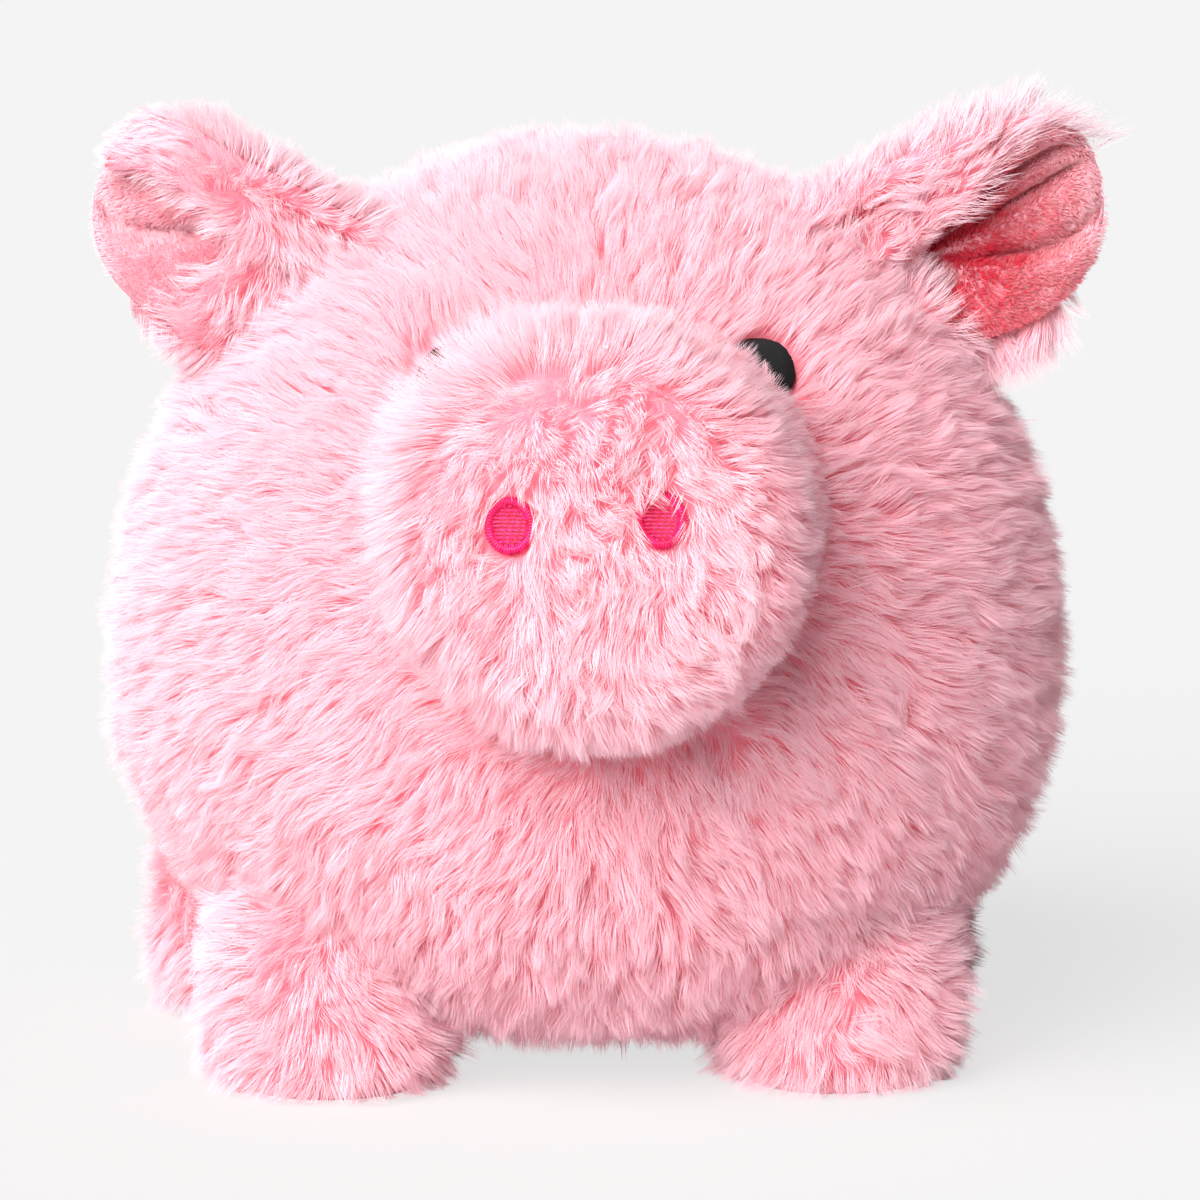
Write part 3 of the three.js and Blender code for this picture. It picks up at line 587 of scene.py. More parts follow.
def strand_paths(roots, normals, flow, style, rng):
    """Each strand's points and tone. Strands lean along the flow, draw together in locks and vary by tuft."""
    count = len(roots)
    heads = rng.permutation(count)[: max(1, count // style["lock"])]
    lock = nearest_of(roots + rng.normal(0, LOCK_BLUR, (count, 3)), roots[heads])
    tufts = max(1, len(heads) // style["tuft"])
    tuft = nearest_of(roots[heads], roots[heads[:tufts]])

    def varied(by_tuft, by_lock, single):
        locks = rng.normal(0, by_tuft, tufts)[tuft] + rng.normal(0, by_lock, len(heads))
        return locks[lock] + rng.normal(0, single, count)

    drift = ripples(roots, style["swirl"], style["seed"])
    sway = ripples(roots, style["swirl"] * SWAY_SCALE, style["seed"] + 1)
    yaw = style["ruffle"] * varied(*YAW_SPREAD) + style["wander"] * drift
    lift = style["ruffle"] * varied(*LIFT_SPREAD) + SWAY * sway
    length = style["length"] * np.clip(1 + varied(*LENGTH_SPREAD), *LENGTH_LIMITS)
    laid = np.clip(np.linalg.norm(flow, axis=1), LEAST_LAID, 1)
    flow = along_surface(flow, normals)
    heading = flow * np.cos(yaw)[:, None] + np.cross(normals, flow) * np.sin(yaw)[:, None]
    points = [roots]
    for low, high in zip(STRAND_RINGS[:-1], STRAND_RINGS[1:]):
        share = (low + high) / 2
        lean = (style["lean"][0] + (style["lean"][1] - style["lean"][0]) * share + lift) * laid
        step = normals * np.cos(lean)[:, None] + heading * np.sin(lean)[:, None]
        points.append(points[-1] + step * (length * (high - low))[:, None])
    paths = np.stack(points, axis=1)
    guides = paths[heads][lock]
    pull = style["pull"] * rng.uniform(*PULL_RANGE, count)
    pull[rng.random(count) < LOOSE_SHARE] = 0
    shares = np.array(STRAND_RINGS) ** PULL_POWER
    paths = paths + (guides - paths) * (pull[:, None] * shares)[..., None]
    tones = np.clip(style["tone"] + varied(*TONE_SPREAD), *TONE_LIMITS)
    return paths, tones


def strand_mesh(name, paths, tones, radius):
    """Closed three-sided strands, pointed at both ends, with tone and place along the strand as their map."""
    count = len(paths)
    heading = unit(paths[:, 2] - paths[:, 0])
    across = unit(np.cross(heading, STRAND_SIDEWAYS))
    upward = np.cross(across, heading)
    turn = np.arange(3) * 2 * math.pi / 3
    ring = across[:, None] * np.cos(turn)[None, :, None] + upward[:, None] * np.sin(turn)[None, :, None]
    points = np.empty((count, 5, 3), np.float32)
    points[:, 0] = paths[:, 0]
    points[:, 1:4] = paths[:, 1:2] + ring * radius
    points[:, 4] = paths[:, 2]
    pattern = []
    for k in range(3):
        after = (k + 1) % 3
        pattern.append((0, 1 + after, 1 + k))
        pattern.append((1 + k, 1 + after, 4))
    pattern = np.array(pattern)
    corners = (np.arange(count)[:, None, None] * 5 + pattern).ravel()
    mesh = bpy.data.meshes.new(name)
    mesh.vertices.add(count * 5)
    mesh.vertices.foreach_set("co", points.ravel())
    mesh.loops.add(len(corners))
    mesh.loops.foreach_set("vertex_index", corners.astype(np.int32))
    mesh.polygons.add(len(corners) // 3)
    mesh.polygons.foreach_set("loop_start", np.arange(0, len(corners), 3, dtype=np.int32))
    mesh.update(calc_edges=True)
    mesh.polygons.foreach_set("use_smooth", np.zeros(len(mesh.polygons), bool))
    height = np.array([0.0] + [STRAND_RINGS[1]] * 3 + [1.0])
    spread = np.array([0.0, -MAP_HALF_WIDTH, 0.0, MAP_HALF_WIDTH, 0.0])
    place = np.empty((count, 5, 2), np.float32)
    place[..., 0] = tones[:, None] + spread
    place[..., 1] = height
    layer = mesh.uv_layers.new(name="OFBake")
    layer.data.foreach_set("uv", place.reshape(-1, 2)[corners].ravel())
    mesh.update()
    return linked(name, mesh)


def grow_fur(name, places, normals, flow, style, body, keep, finish=LONG_FUR, slot="plush"):
    """Fur on scattered places, without the strands that keep rejects, in pieces of limited size on a body."""
    rng = np.random.default_rng(style["seed"] + STRAND_SEEDS)
    paths, tones = strand_paths(places, normals, flow, style, rng)
    paths[..., 2] = np.maximum(paths[..., 2], LOWEST_STRAND)
    kept = keep(paths)
    paths, tones = paths[kept], tones[kept]
    order = np.argsort(paths[:, 0, 2], kind="stable")
    pieces = max(1, math.ceil(len(order) / STRANDS_PER_PIECE))
    for k, chosen in enumerate(np.array_split(order, pieces)):
        obj = strand_mesh(f"{name}_{k + 1}", paths[chosen], tones[chosen], style["radius"])
        finished(obj, finish, slot, body)


# Places that fur grows round
SNOUT_ORIGIN = body_front(0, SNOUT_LEVEL)
SNOUT_OUTWARD = np.array([-math.sin(SNOUT_TURN), -math.cos(SNOUT_TURN), 0.0])
level_across = unit(np.cross([0, 0, 1.0], SNOUT_OUTWARD))
SNOUT_ACROSS = level_across * math.cos(SNOUT_ROLL) + np.array([0, 0, math.sin(SNOUT_ROLL)])
SNOUT_UPWARD = np.cross(SNOUT_OUTWARD, SNOUT_ACROSS)
SNOUT_AXES = np.stack([SNOUT_ACROSS, SNOUT_UPWARD, SNOUT_OUTWARD])
WHORL_LEVEL = 0.056
WHORL = body_front(0, WHORL_LEVEL)
WHORL_REACH = 0.034
PARTING_WIDTH = 0.012
PARTING = np.array([1.2, 0, 0])
WHORL_FALL = np.array([0, 0, -0.4])
BODY_FALL = np.array([0, 0, -0.25])


def snout_local(points):
    return (points - SNOUT_ORIGIN) @ SNOUT_AXES.T


def snout_world(points):
    return SNOUT_ORIGIN + points @ SNOUT_AXES


def box_middle(node):
    low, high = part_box(node)
    return np.array((low + high) / 2)


def patch_frame(node, outward):
    """Middle of an embroidered patch and its axes: across, upward, outward."""
    across = unit(np.cross([0, 0, 1.0], outward))
    return box_middle(node), np.stack([across, np.cross(outward, across), outward])


SIDES = ("left", "right")
EYES = {side: patch_frame(f"eye_{side}", body_normals(box_middle(f"eye_{side}"))) for side in SIDES}
NOSTRILS = {side: patch_frame(f"nostril_{side}", SNOUT_OUTWARD) for side in SIDES}
EYE_HALF = np.array([0.007, 0.0075])
NOSTRIL_HALF = np.array([0.0050, 0.0057])
NOSTRIL_CLEAR = {"left": 0.92, "right": 0.5}
EYE_CLEAR = 0.9
PATCH_DEPTH = 0.012
FAR_OFF = 9.0
SLOT_DIRECTION = unit(np.array([0, 0.030, 0.098]))
SLOT_MIDDLE = body_points(SLOT_DIRECTION, 0)
SLOT_ALONG = np.cross(body_normals(SLOT_MIDDLE), [1.0, 0, 0])
SLOT_HALF = np.array([0.0085, 0.0265])
OUTLET_RADIUS = 0.0315
OUTLET_LEVEL = 0.03
CLEARED_DEPTH = 0.03
HIDDEN_MARGIN = 0.007
leg_places = {leg: box_middle(f"{leg}_sole")[:2] for leg in LEGS}


def over_patch(points, patch, half):
    """How far points lie from a patch's middle, where 1 is its edge."""
    middle, axes = patch
    local = (points - middle) @ axes.T
    reach = np.hypot(local[..., 0] / half[0], local[..., 1] / half[1])
    return np.where(local[..., 2] > -PATCH_DEPTH, reach, FAR_OFF)


def inside_leg(points, shrink):
    """True where points lie in a leg that is smaller by shrink."""
    found = np.zeros(points.shape[:-1], bool)
    for x, y in leg_places.values():
        spread = np.hypot(points[..., 0] - x, points[..., 1] - y) / (LEG_RADIUS - shrink)
        rise = np.maximum(points[..., 2] - LEG_SWELL_AT, 0) / (LEG_HEIGHT - LEG_SWELL_AT - shrink)
        found |= spread ** LEG_FULLNESS + rise ** LEG_FULLNESS < 1
    return found


def inside_snout(points, shrink):
    local = snout_local(points)
    radial = np.hypot(local[..., 0], local[..., 1])
    return (radial < SNOUT_RADIUS - shrink) & (local[..., 2] > -CLEARED_DEPTH)


def over_slot(points):
    local = points - SLOT_MIDDLE
    across = np.abs(local[..., 0])
    along = np.abs(local @ SLOT_ALONG)
    return (across < SLOT_HALF[0]) & (along < SLOT_HALF[1]) & (local[..., 2] > -CLEARED_DEPTH)


def over_outlet(points):
    middle = box_middle("outlet_collar")
    radial = np.hypot(points[..., 0] - middle[0], points[..., 1] - middle[1])
    return (radial < OUTLET_RADIUS) & (points[..., 2] < OUTLET_LEVEL)


def keep_body_strands(paths):
    roots = paths[:, 0]
    hidden = inside_snout(roots, HIDDEN_MARGIN) | inside_leg(roots, HIDDEN_MARGIN)
    kept = ~(hidden | over_slot(roots) | over_outlet(roots))
    for patch in EYES.values():
        kept &= over_patch(roots, patch, EYE_HALF) > 1.0
        kept &= over_patch(paths[:, 1:], patch, EYE_HALF).min(axis=1) > EYE_CLEAR
    return kept


def rooted_outside(depth):
    """A test that keeps strands rooted outside the body's surface lowered by a depth."""
    return lambda paths: outside_body(paths[:, 0], depth)


def body_flow(points, normals):
    """Combed away from the snout and a little downwards, and parted at the belly panel's tip."""
    from_snout = along_surface(points - SNOUT_ORIGIN, normals)
    near = np.exp(-(np.linalg.norm(points - WHORL, axis=1) / WHORL_REACH) ** 2)[:, None]
    parting = np.tanh((points[:, :1] - SEAM_X) / PARTING_WIDTH) * PARTING
    return unit(from_snout + near * (parting + WHORL_FALL) + BODY_FALL)


# Piles: strands to the square metre and to a lock, locks to a tuft, and lean in radians at root and tip
BODY_PILE = {
    "density": 3.9e6, "length": 0.0090, "lean": (0.45, 1.10), "radius": 0.00007, "lock": 13, "tuft": 7,
    "pull": 0.45, "ruffle": 1.1, "swirl": 0.026, "wander": 0.25, "tone": 0.56, "seed": 11,
}
BELLY_PILE = {**BODY_PILE, "seed": 31}
LEG_PILE = {**BODY_PILE, "length": 0.0092, "tone": 0.64, "ruffle": 1.4, "seed": 41}
# The disc's pile has a higher, paler tone than the body's: painted light and sheen on the snout's front
DISC_PILE = {
    **BODY_PILE, "density": 4.4e6, "length": 0.0090, "tone": 0.78, "ruffle": 1.6, "swirl": 0.016,
    "wander": 0.45, "seed": 51,
}
WALL_PILE = {
    **BODY_PILE, "density": 4.8e6, "length": 0.0085, "lean": (0.45, 1.05), "tone": 0.56, "seed": 61,
}
# The ears' pile has a higher, paler tone than the body's: painted light, making up for the shade within it
EAR_PILE = {**BODY_PILE, "density": 4.4e6, "length": 0.0085, "tone": 0.95, "seed": 71}
LIP_PILE = {**EAR_PILE, "length": 0.0080, "seed": 73}
HEM_PILE = {
    **EAR_PILE, "density": 9.0e6, "length": 0.0125, "lean": (0.65, 1.2), "ruffle": 1.5, "tone": 0.5,
    "seed": 75,
}
LINING_PILE = {
    **BODY_PILE, "density": 1.2e7, "length": 0.0017, "radius": 0.00011, "lean": (0.3, 0.9), "pull": 0.1,
    "tone": 0.85, "seed": 81,
}
TAIL_PILE = {**BODY_PILE, "length": 0.006, "lean": (0.5, 1.1), "pull": 0.3, "seed": 111}


# Body
def body_cloth(directions):
    return [body_points(directions, -depth) for depth in (CLOTH_DEPTH, CLOTH_DEPTH + CLOTH_THICKNESS)]


def make_body():
    angles = full_turn(BODY_GRID[1])
    shares = np.linspace(0, 1, BODY_GRID[0])
    rims = {}
    for number, (label, side) in enumerate((("left", -1), ("right", 1))):
        rims[label] = seam_directions(side, angles)
        pole = np.tile([float(side), 0, 0], (len(angles), 1))
        directions = arc_between(pole, rims[label], shares)
        if side < 0:
            directions = directions[:, ::-1]
        outer, inner = body_cloth(directions)
        panel = shell(f"{label}_side_panel", outer, inner, True)
        finished(panel, BACKING, "plush", "pig", f"body_skin_{label}", fill=0.8)
        style = {**BODY_PILE, "seed": BODY_PILE["seed"] + number}
        places, normals = scatter(outer, True, style, CENTRE)
        flow = body_flow(places, normals)
        grow_fur(f"{label}_side_fur", places, normals, flow, style, "pig", keep_body_strands)
    below = rims["right"][:, 0] > 1e-6
    directions = arc_between(rims["left"][below], rims["right"][below], np.linspace(0, 1, BELLY_ROWS))
    outer, inner = body_cloth(directions)
    panel = shell("belly_gusset", outer, inner, False)
    finished(panel, BACKING, "plush", "pig", "belly_panel", fill=0.7)
    places, normals = scatter(outer, False, BELLY_PILE, CENTRE)
    flow = body_flow(places, normals)
    grow_fur("belly_fur", places, normals, flow, BELLY_PILE, "pig", keep_body_strands)


# Snout
def snout_profile(offset):
    """Radius and reach of the snout's curve from its root to the middle of its disc."""
    low = np.linspace(-SNOUT_ROOT, SNOUT_SWELL_AT, 10)[:-1]
    pinch = SNOUT_PINCH * np.clip(1 - np.abs(low) / SNOUT_SWELL_AT, 0, 1) ** 1.5
    root = np.stack([SNOUT_RADIUS + offset - pinch, low], axis=-1)
    crown = SNOUT_REACH - SNOUT_SWELL_AT + offset
    radius, rise = dome(SNOUT_RADIUS + offset, crown, SNOUT_FULLNESS, SNOUT_STEPS)
    return np.concatenate([root, np.stack([radius, SNOUT_SWELL_AT + rise], axis=-1)])


def snout_grid(profile):
    return snout_world(rings(profile[:, 0], profile[:, 1], SNOUT_SIDES))


def snout_flow(points):
    local = snout_local(points)
    disc = np.clip((local[:, 2] - DISC_NAP_FROM) / DISC_NAP_SPAN, 0, 1)[:, None]
    radial = np.stack([local[:, 0], local[:, 1], 0 * local[:, 0]], axis=-1) / SNOUT_RADIUS
    flow = disc * (DISC_SPREAD * radial + FALLING) + (1 - disc) * (BACKWARD + BARREL_FALL * FALLING)
    return flow @ SNOUT_AXES


def wall_length(points):
    """The barrel's pile is longer on the side that the snout turns to, and short at the head's seam."""
    local = snout_local(points)
    around = np.arctan2(local[:, 1], local[:, 0])
    seam = np.clip(local[:, 2] / SNOUT_SWELL_AT, 0, 1)
    tuft = BARREL_TUFT_GAIN * np.exp(-((around - BARREL_TUFT_AT) / BARREL_TUFT_SPAN) ** 2)
    longer = 1 + BARREL_LONG_GAIN * np.cos(around - BARREL_LONG_SIDE) + tuft
    return longer * (BARREL_SEAM_LENGTH + (1 - BARREL_SEAM_LENGTH) * seam)


def keep_snout_strands(paths):
    kept = np.ones(len(paths), bool)
    for side, patch in NOSTRILS.items():
        kept &= over_patch(paths[:, 0], patch, NOSTRIL_HALF) > 1.0
        kept &= over_patch(paths[:, 1:], patch, NOSTRIL_HALF).min(axis=1) > NOSTRIL_CLEAR[side]
    return kept


def make_snout():
    depths = (SNOUT_CLOTH_DEPTH, SNOUT_CLOTH_DEPTH + CLOTH_THICKNESS)
    profiles = [snout_profile(-depth) for depth in depths]
    seam = int(np.argmax(profiles[0][:, 1] > SNOUT_SEAM_AT - SNOUT_SEAM_TUCK))
    pieces = (
        ("snout_tube", "snout_wall", slice(0, seam + 1), WALL_PILE),
        ("snout_front", "snout_disc", slice(seam, None), DISC_PILE),
    )
    for name, node, rows, pile in pieces:
        outer, inner = (snout_grid(profile[rows]) for profile in profiles)
        cloth = shell(name, outer, inner, True)
        finished(cloth, BACKING, "plush", "pig", node, fill=0.8)
        style = dict(pile)
        places, normals = scatter(outer, True, style, SNOUT_ORIGIN)
        if name == "snout_tube":
            style["length"] = style["length"] * wall_length(places)
        else:
            height = np.clip(snout_local(places)[:, 1] / SNOUT_RADIUS, 0, 1)
            style["tone"] = style["tone"] + DISC_TOP_TONE * height
        grow_fur(f"{name}_fur", places, normals, snout_flow(places), style, "pig", keep_snout_strands)


# Legs
def leg_grid(x, y, offset):
    crown = LEG_HEIGHT - LEG_SWELL_AT + offset
    radius, rise = dome(LEG_RADIUS + offset, crown, LEG_FULLNESS, LEG_STEPS)
    low = np.linspace(LEG_LOW_EDGE, LEG_SWELL_AT, 6)[:-1]
    taper = LEG_TAPER * (1 - low / LEG_SWELL_AT) ** 2
    radius = np.concatenate([LEG_RADIUS + offset - taper, radius])
    level = np.concatenate([low, LEG_SWELL_AT + rise])
    return rings(radius, level, LEG_SIDES) + [x, y, 0]


def make_leg(leg, number):
    x, y = leg_places[leg]
    outer = leg_grid(x, y, -LEG_CLOTH_DEPTH)
    inner = leg_grid(x, y, -LEG_CLOTH_DEPTH - CLOTH_THICKNESS)
    cloth = shell(f"{leg}_leg_skin", outer, inner, True)
    finished(cloth, BACKING, "plush", "pig", f"{leg}_leg", fill=0.75)
    style = {**LEG_PILE, "seed": LEG_PILE["seed"] + number}
    places, normals = scatter(outer, True, style, np.array([x, y, LEG_SWELL_AT]))
    ahead = -1.0 if leg.startswith("front") else 1.0
    whorl = np.array([x, y + ahead * (LEG_RADIUS - LEG_CLOTH_DEPTH), LEG_WHORL_LEVEL])
    away = np.linalg.norm(places - whorl, axis=1)[:, None]
    flow = along_surface(places - whorl, normals) * np.clip(away / LEG_WHORL_REACH, 0, 1) + LEG_FALL
    grow_fur(f"{leg}_leg_fur", places, normals, flow, style, "pig", rooted_outside(LEG_ROOT_DEPTH))
    make_sole(leg, x, y)


def make_sole(leg, x, y):
    low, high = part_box(f"{leg}_sole")
    radius = (high.x - low.x) / 2 - SOLE_MARGIN
    shares, levels = np.array(SOLE_PROFILE).T
    grid = rings(shares * radius, levels, LEG_SIDES) + [x, y, low.z]
    obj = new_object(f"{leg}_sole_disc", grid.reshape(-1, 3), grid_faces(*grid.shape[:2], True))
    clean_mesh(obj)
    finished(obj, FELT, "plush", "pig", f"{leg}_sole", fill=0.9)


# Ears
def ear_axes(ear):
    lift = math.radians(ear["lift"])
    along = np.array([ear["side"] * math.cos(lift), 0, math.sin(lift)])
    outlook = np.array([ear["side"] * math.sin(EAR_FACING), -math.cos(EAR_FACING), 0])
    across = unit(np.cross(outlook, along))
    forward = np.cross(along, across)
    x, y = ear["side"] * EAR_SPACING / 2, -EAR_FORWARD
    spread = math.hypot(x / HALF_WIDTH, y / HALF_DEPTH)
    rise = CROWN_RISE * (1 - spread ** CROWN_FULLNESS) ** (1 / CROWN_FULLNESS)
    return CENTRE + np.array([x, y, rise]), along, across, forward


def ear_half_width(share):
    swell = np.sin(math.pi / 2 * np.clip(share / EAR_WIDEST_AT, 0, 1))
    lower = (EAR_BASE_WIDTH + (EAR_WIDTH - EAR_BASE_WIDTH) * swell) / 2
    tip = np.clip((share - EAR_WIDEST_AT) / (1 - EAR_WIDEST_AT), 0, 1)
    return np.where(share < EAR_WIDEST_AT, lower, EAR_WIDTH / 2 * np.sqrt(1 - tip ** 2))


def ear_points(ear, share, edge, depth):
    """Points of the leaf at a share along it, an edge, lower below 0, and a depth towards the lining."""
    base, along, across, forward = ear_axes(ear)
    margin = np.where(edge > 0, EAR_MARGIN[1], EAR_MARGIN[-1])
    half = np.maximum(ear_half_width(share) - margin, EAR_LEAST_HALF)
    roll = np.radians(np.where(edge > 0, ear["upper"], ear["lower"]))
    bend = 2 * roll / EAR_WIDTH
    angle = np.abs(edge) * half * bend
    sideways = ear["side"] * np.sign(edge) * (np.sin(angle) / bend - depth * np.sin(angle))
    forwards = (1 - np.cos(angle)) / bend + depth * np.cos(angle)
    parts = (share * (ear["length"] - EAR_TIP_MARGIN), along), (sideways, across), (forwards, forward)
    return base + sum(amount[..., None] * axis for amount, axis in parts)


def ear_local(ear, points):
    """Distances of points along the ear from its root, and across it towards its upper edge."""
    base, along, across, _ = ear_axes(ear)
    return (points - base) @ along, (points - base) @ across * ear["side"]


def ear_shares(ear, rows):
    """Column of places along the leaf from its root to its tip."""
    root = -EAR_ROOT / ear["length"]
    return root + (1 - root) * np.sin(math.pi / 2 * np.linspace(0, 1, rows))[:, None]


def ear_apex(ear):
    """Share and edge at which the two lips part."""
    (share, upper), (_, lower) = ear["opening"][1][0], ear["opening"][-1][0]
    return share, (upper + lower) / 2


def ear_leaf(ear, depth, folds=0.0):
    """Grid of a whole layer, thinner at its rim, with folds between creases that fan out from the apex."""
    share = ear_shares(ear, EAR_LEAF_GRID[0])
    edge = np.linspace(-1, 1, EAR_LEAF_GRID[1])
    rim = np.maximum(np.abs(edge), np.clip(share, 0, 1)) ** EAR_RIM_POWER
    apex, middle = ear_apex(ear)
    x = (share - apex) * ear["length"]
    y = (edge - middle) * EAR_WIDTH / 2
    turn = np.arctan2(y, x)
    fold = 1.0
    for crease in ear["creases"]:
        fold = fold - np.exp(-((turn - math.radians(crease)) / EAR_CREASE_WIDTH) ** 2)
    fold = np.maximum(fold, 0) * np.clip(np.hypot(x, y) / EAR_FOLD_REACH, 0, 1)
    return ear_points(ear, share, edge, depth * (1 - EAR_RIM_THINNING * rim) + folds * fold * (1 - rim))


def ear_lip(ear, sign, radius, depth):
    """Grid of the furry edge: round the leaf's rim, over the lining, and closed over it towards the head."""
    share = ear_shares(ear, EAR_LIP_GRID[0])
    place = np.linspace(-EAR_LIP_WRAP, 1, EAR_LIP_GRID[1])
    turned = np.maximum(place, 0)
    wrap = math.pi * np.clip(-place / EAR_LIP_WRAP, 0, 1)
    far = np.interp(share, *zip(*ear["opening"][sign]))
    width = np.clip(np.abs(far - sign) / EAR_LIP_FULL, 0, 1)
    half = np.maximum(ear_half_width(share) - EAR_MARGIN[sign], EAR_LEAST_HALF)
    edge = sign + (far - sign) * turned + sign * width * radius * np.sin(wrap) / half
    rise = depth * (1 - (1 - turned) ** 3) + ear["bulge"][sign] * np.sin(math.pi * turned)
    return ear_points(ear, share, edge, width * (radius * np.cos(wrap) + rise))


def clean_rim(ear):
    """A test that drops strands rooted in the head and those whose tips stand out past the bare rim."""
    bend = 2 * math.radians(ear["lower"]) / EAR_WIDTH

    def keep(paths):
        outward, upward = ear_local(ear, paths[:, -1])
        share = outward / (ear["length"] - EAR_TIP_MARGIN)
        half = np.maximum(ear_half_width(np.clip(share, 0, 1)) - EAR_MARGIN[-1], 0)
        slack = EAR_RIM_SLACK * np.random.default_rng(EAR_RIM_SEED).random(len(paths)) ** 2
        below = upward < -np.sin(half * bend) / bend - slack
        beyond = (share > 1 + slack / ear["length"]) & (upward < slack - EAR_RIM_SLACK)
        bare = (share > ear["fringe"]) & (below | beyond)
        return outside_body(paths[:, 0], CLOTH_DEPTH) & ~bare

    return keep


def ear_flow(ear, label, places, normals):
    """Fur runs to the tip and off the upper edge, and on the lips away from a whorl."""
    _, along, across, _ = ear_axes(ear)
    rising = across * ear["side"]
    outward, upward = ear_local(ear, places)
    share = outward / ear["length"]
    drooping = -EAR_DROOP * np.clip((share - EAR_TIP_FROM) / EAR_TIP_SPAN, 0, 1)[:, None] * rising
    if label == "hem_fur":
        return 0 * places - HEM_TO_ROOT * along - rising
    if label.endswith("lip_fur"):
        whorl = ear_points(ear, *(np.array(value) for value in (*ear["whorl"], EAR_WHORL_DEPTH)))
        return along_surface(places - whorl, normals) + LIP_TO_TIP * along + drooping
    off_lower = np.where(share < ear["fringe"], *EAR_OFF_LOWER)
    off_edge = np.where(upward > 0, EAR_OFF_UPPER, off_lower) * (upward / (EAR_WIDTH / 2))
    return EAR_TO_TIP * along + off_edge[:, None] * rising + drooping


def ear_length(ear, places):
    """How much longer the pile is at the ear's tip, and shorter along its bare lower and outer rim."""
    outward, upward = ear_local(ear, places)
    share = outward / ear["length"]
    tip = np.clip((share - EAR_TIP_FROM) / EAR_TIP_SPAN, 0, 1) * np.clip(upward / (EAR_WIDTH / 4) + 1, 0, 1)
    bend = 2 * math.radians(ear["lower"]) / EAR_WIDTH
    below = np.arcsin(np.clip(-upward * bend, -1, 1)) / bend
    to_rim = np.minimum((1 - share) * ear["length"], ear_half_width(share) - below)
    trimmed = np.clip(to_rim / EAR_PILE["length"], EAR_TRIM, 1)
    bare = (upward < 0) & (share > ear["fringe"])
    return (1 + (ear["tip"] - 1) * tip) * np.where(bare, trimmed, 1)


def make_ear(name, ear, number):
    base, _, _, forward = ear_axes(ear)
    outer, inner = (ear_leaf(ear, depth) for depth in EAR_BACK_DEPTHS)
    back = shell(f"{name}_back", outer, inner, False)
    finished(back, BACKING, "plush", name, f"{name}_outer", fill=0.3)
    face = ear_leaf(ear, EAR_LINING_DEPTHS[0], EAR_FOLD_DEPTH)
    lining = shell(f"{name}_inside", face, ear_leaf(ear, EAR_LINING_DEPTHS[1]), False)
    finished(lining, LINING_CLOTH, "ear_lining", name, f"{name}_lining", fill=0.2)
    share = ear_shares(ear, EAR_LEAF_GRID[0])[:, 0]
    hem = outer[(EAR_HEM[0] < share) & (share < EAR_HEM[1])][:, :EAR_HEM_COLUMNS]
    layers = [
        ("fur", outer, -1, EAR_PILE, LONG_FUR, "plush"),
        ("lining_pile", face, 1, LINING_PILE, SHORT_FUR, "ear_lining"),
        ("hem_fur", hem, -1, HEM_PILE, LONG_FUR, "plush"),
    ]
    for label, sign in (("upper", 1), ("lower", -1)):
        front = ear_lip(ear, sign, EAR_LIP_RADIUS, EAR_LIP_RISES[0])
        inner = ear_lip(ear, sign, EAR_LIP_RADIUS / 2, EAR_LIP_RISES[1])
        lip = shell(f"{name}_{label}_lip", front, inner, False)
        finished(lip, BACKING, "plush", name, fill=0.4)
        band = ear["band"] if sign > 0 else 0
        furry = front.shape[1] - band
        layers.append((f"{label}_lip_fur", front[:, :furry], 1, LIP_PILE, LONG_FUR, "plush"))
        if band:
            edging = front[:, furry - 1:]
            layers.append((f"{label}_lip_band", edging, 1, LINING_PILE, SHORT_FUR, "ear_lining"))
    apex = ear_points(ear, *(np.array(value) for value in (*ear_apex(ear), EAR_APEX_DEPTH)))
    for order, (label, grid, outward, style, finish, slot) in enumerate(layers):
        style = {**style, "seed": style["seed"] + number + EAR_LAYER_SEEDS * order}
        places, normals = scatter(grid, False, style, base - outward * forward)
        if label == "lining_pile":
            # Painted shade: the lining pile is darker and redder towards the apex, deep in the pocket
            away = np.linalg.norm(places - apex, axis=1)
            style["tone"] = np.interp(away, ear["pocket_shade_reach"], ear["tones"])
        if label == "hem_fur":
            style["length"] = style["length"] * ear["hem"]
        elif finish is LONG_FUR:
            style["length"] = style["length"] * ear_length(ear, places)
        flow = ear_flow(ear, label, places, normals)
        grow_fur(f"{name}_{label}", places, normals, flow, style, name, clean_rim(ear), finish, slot)


# Tail
def make_tail():
    share = np.linspace(0, 1, TAIL_POINTS)
    angle = 2 * math.pi * TAIL_TURNS * share
    opening = np.sin(math.pi / 2 * np.minimum(1, share / TAIL_OPEN_AT)) ** 2
    radius = TAIL_COIL_RADIUS * opening
    rise = abs(TAIL_LEVEL - WIDEST_LEVEL) / CROWN_RISE
    back = MIDDLE_Y + HALF_DEPTH * (1 - rise ** CROWN_FULLNESS) ** (1 / CROWN_FULLNESS)
    path = np.stack(
        [
            SEAM_X + radius * np.sin(angle),
            back - TAIL_ROOT + (TAIL_REACH + TAIL_ROOT) * share,
            TAIL_LEVEL + radius * np.cos(angle),
        ],
        axis=-1,
    )
    points, faces = tube(path, TAIL_RADIUS - TAIL_CLOTH_DEPTH, TAIL_SIDES)
    cord = new_object("tail_cord", points, faces)
    clean_mesh(cord)
    finished(cord, BACKING, "plush", "tail", "tail", fill=0.9)
    places, _ = scatter(points[:-2].reshape(-1, TAIL_SIDES, 3), True, TAIL_PILE, path[0])
    nearest = nearest_of(places, path)
    normals = unit(places - path[nearest])
    flow = unit(np.gradient(path, axis=0))[nearest]
    grow_fur("tail_fur", places, normals, flow, TAIL_PILE, "tail", rooted_outside(CLOTH_DEPTH))


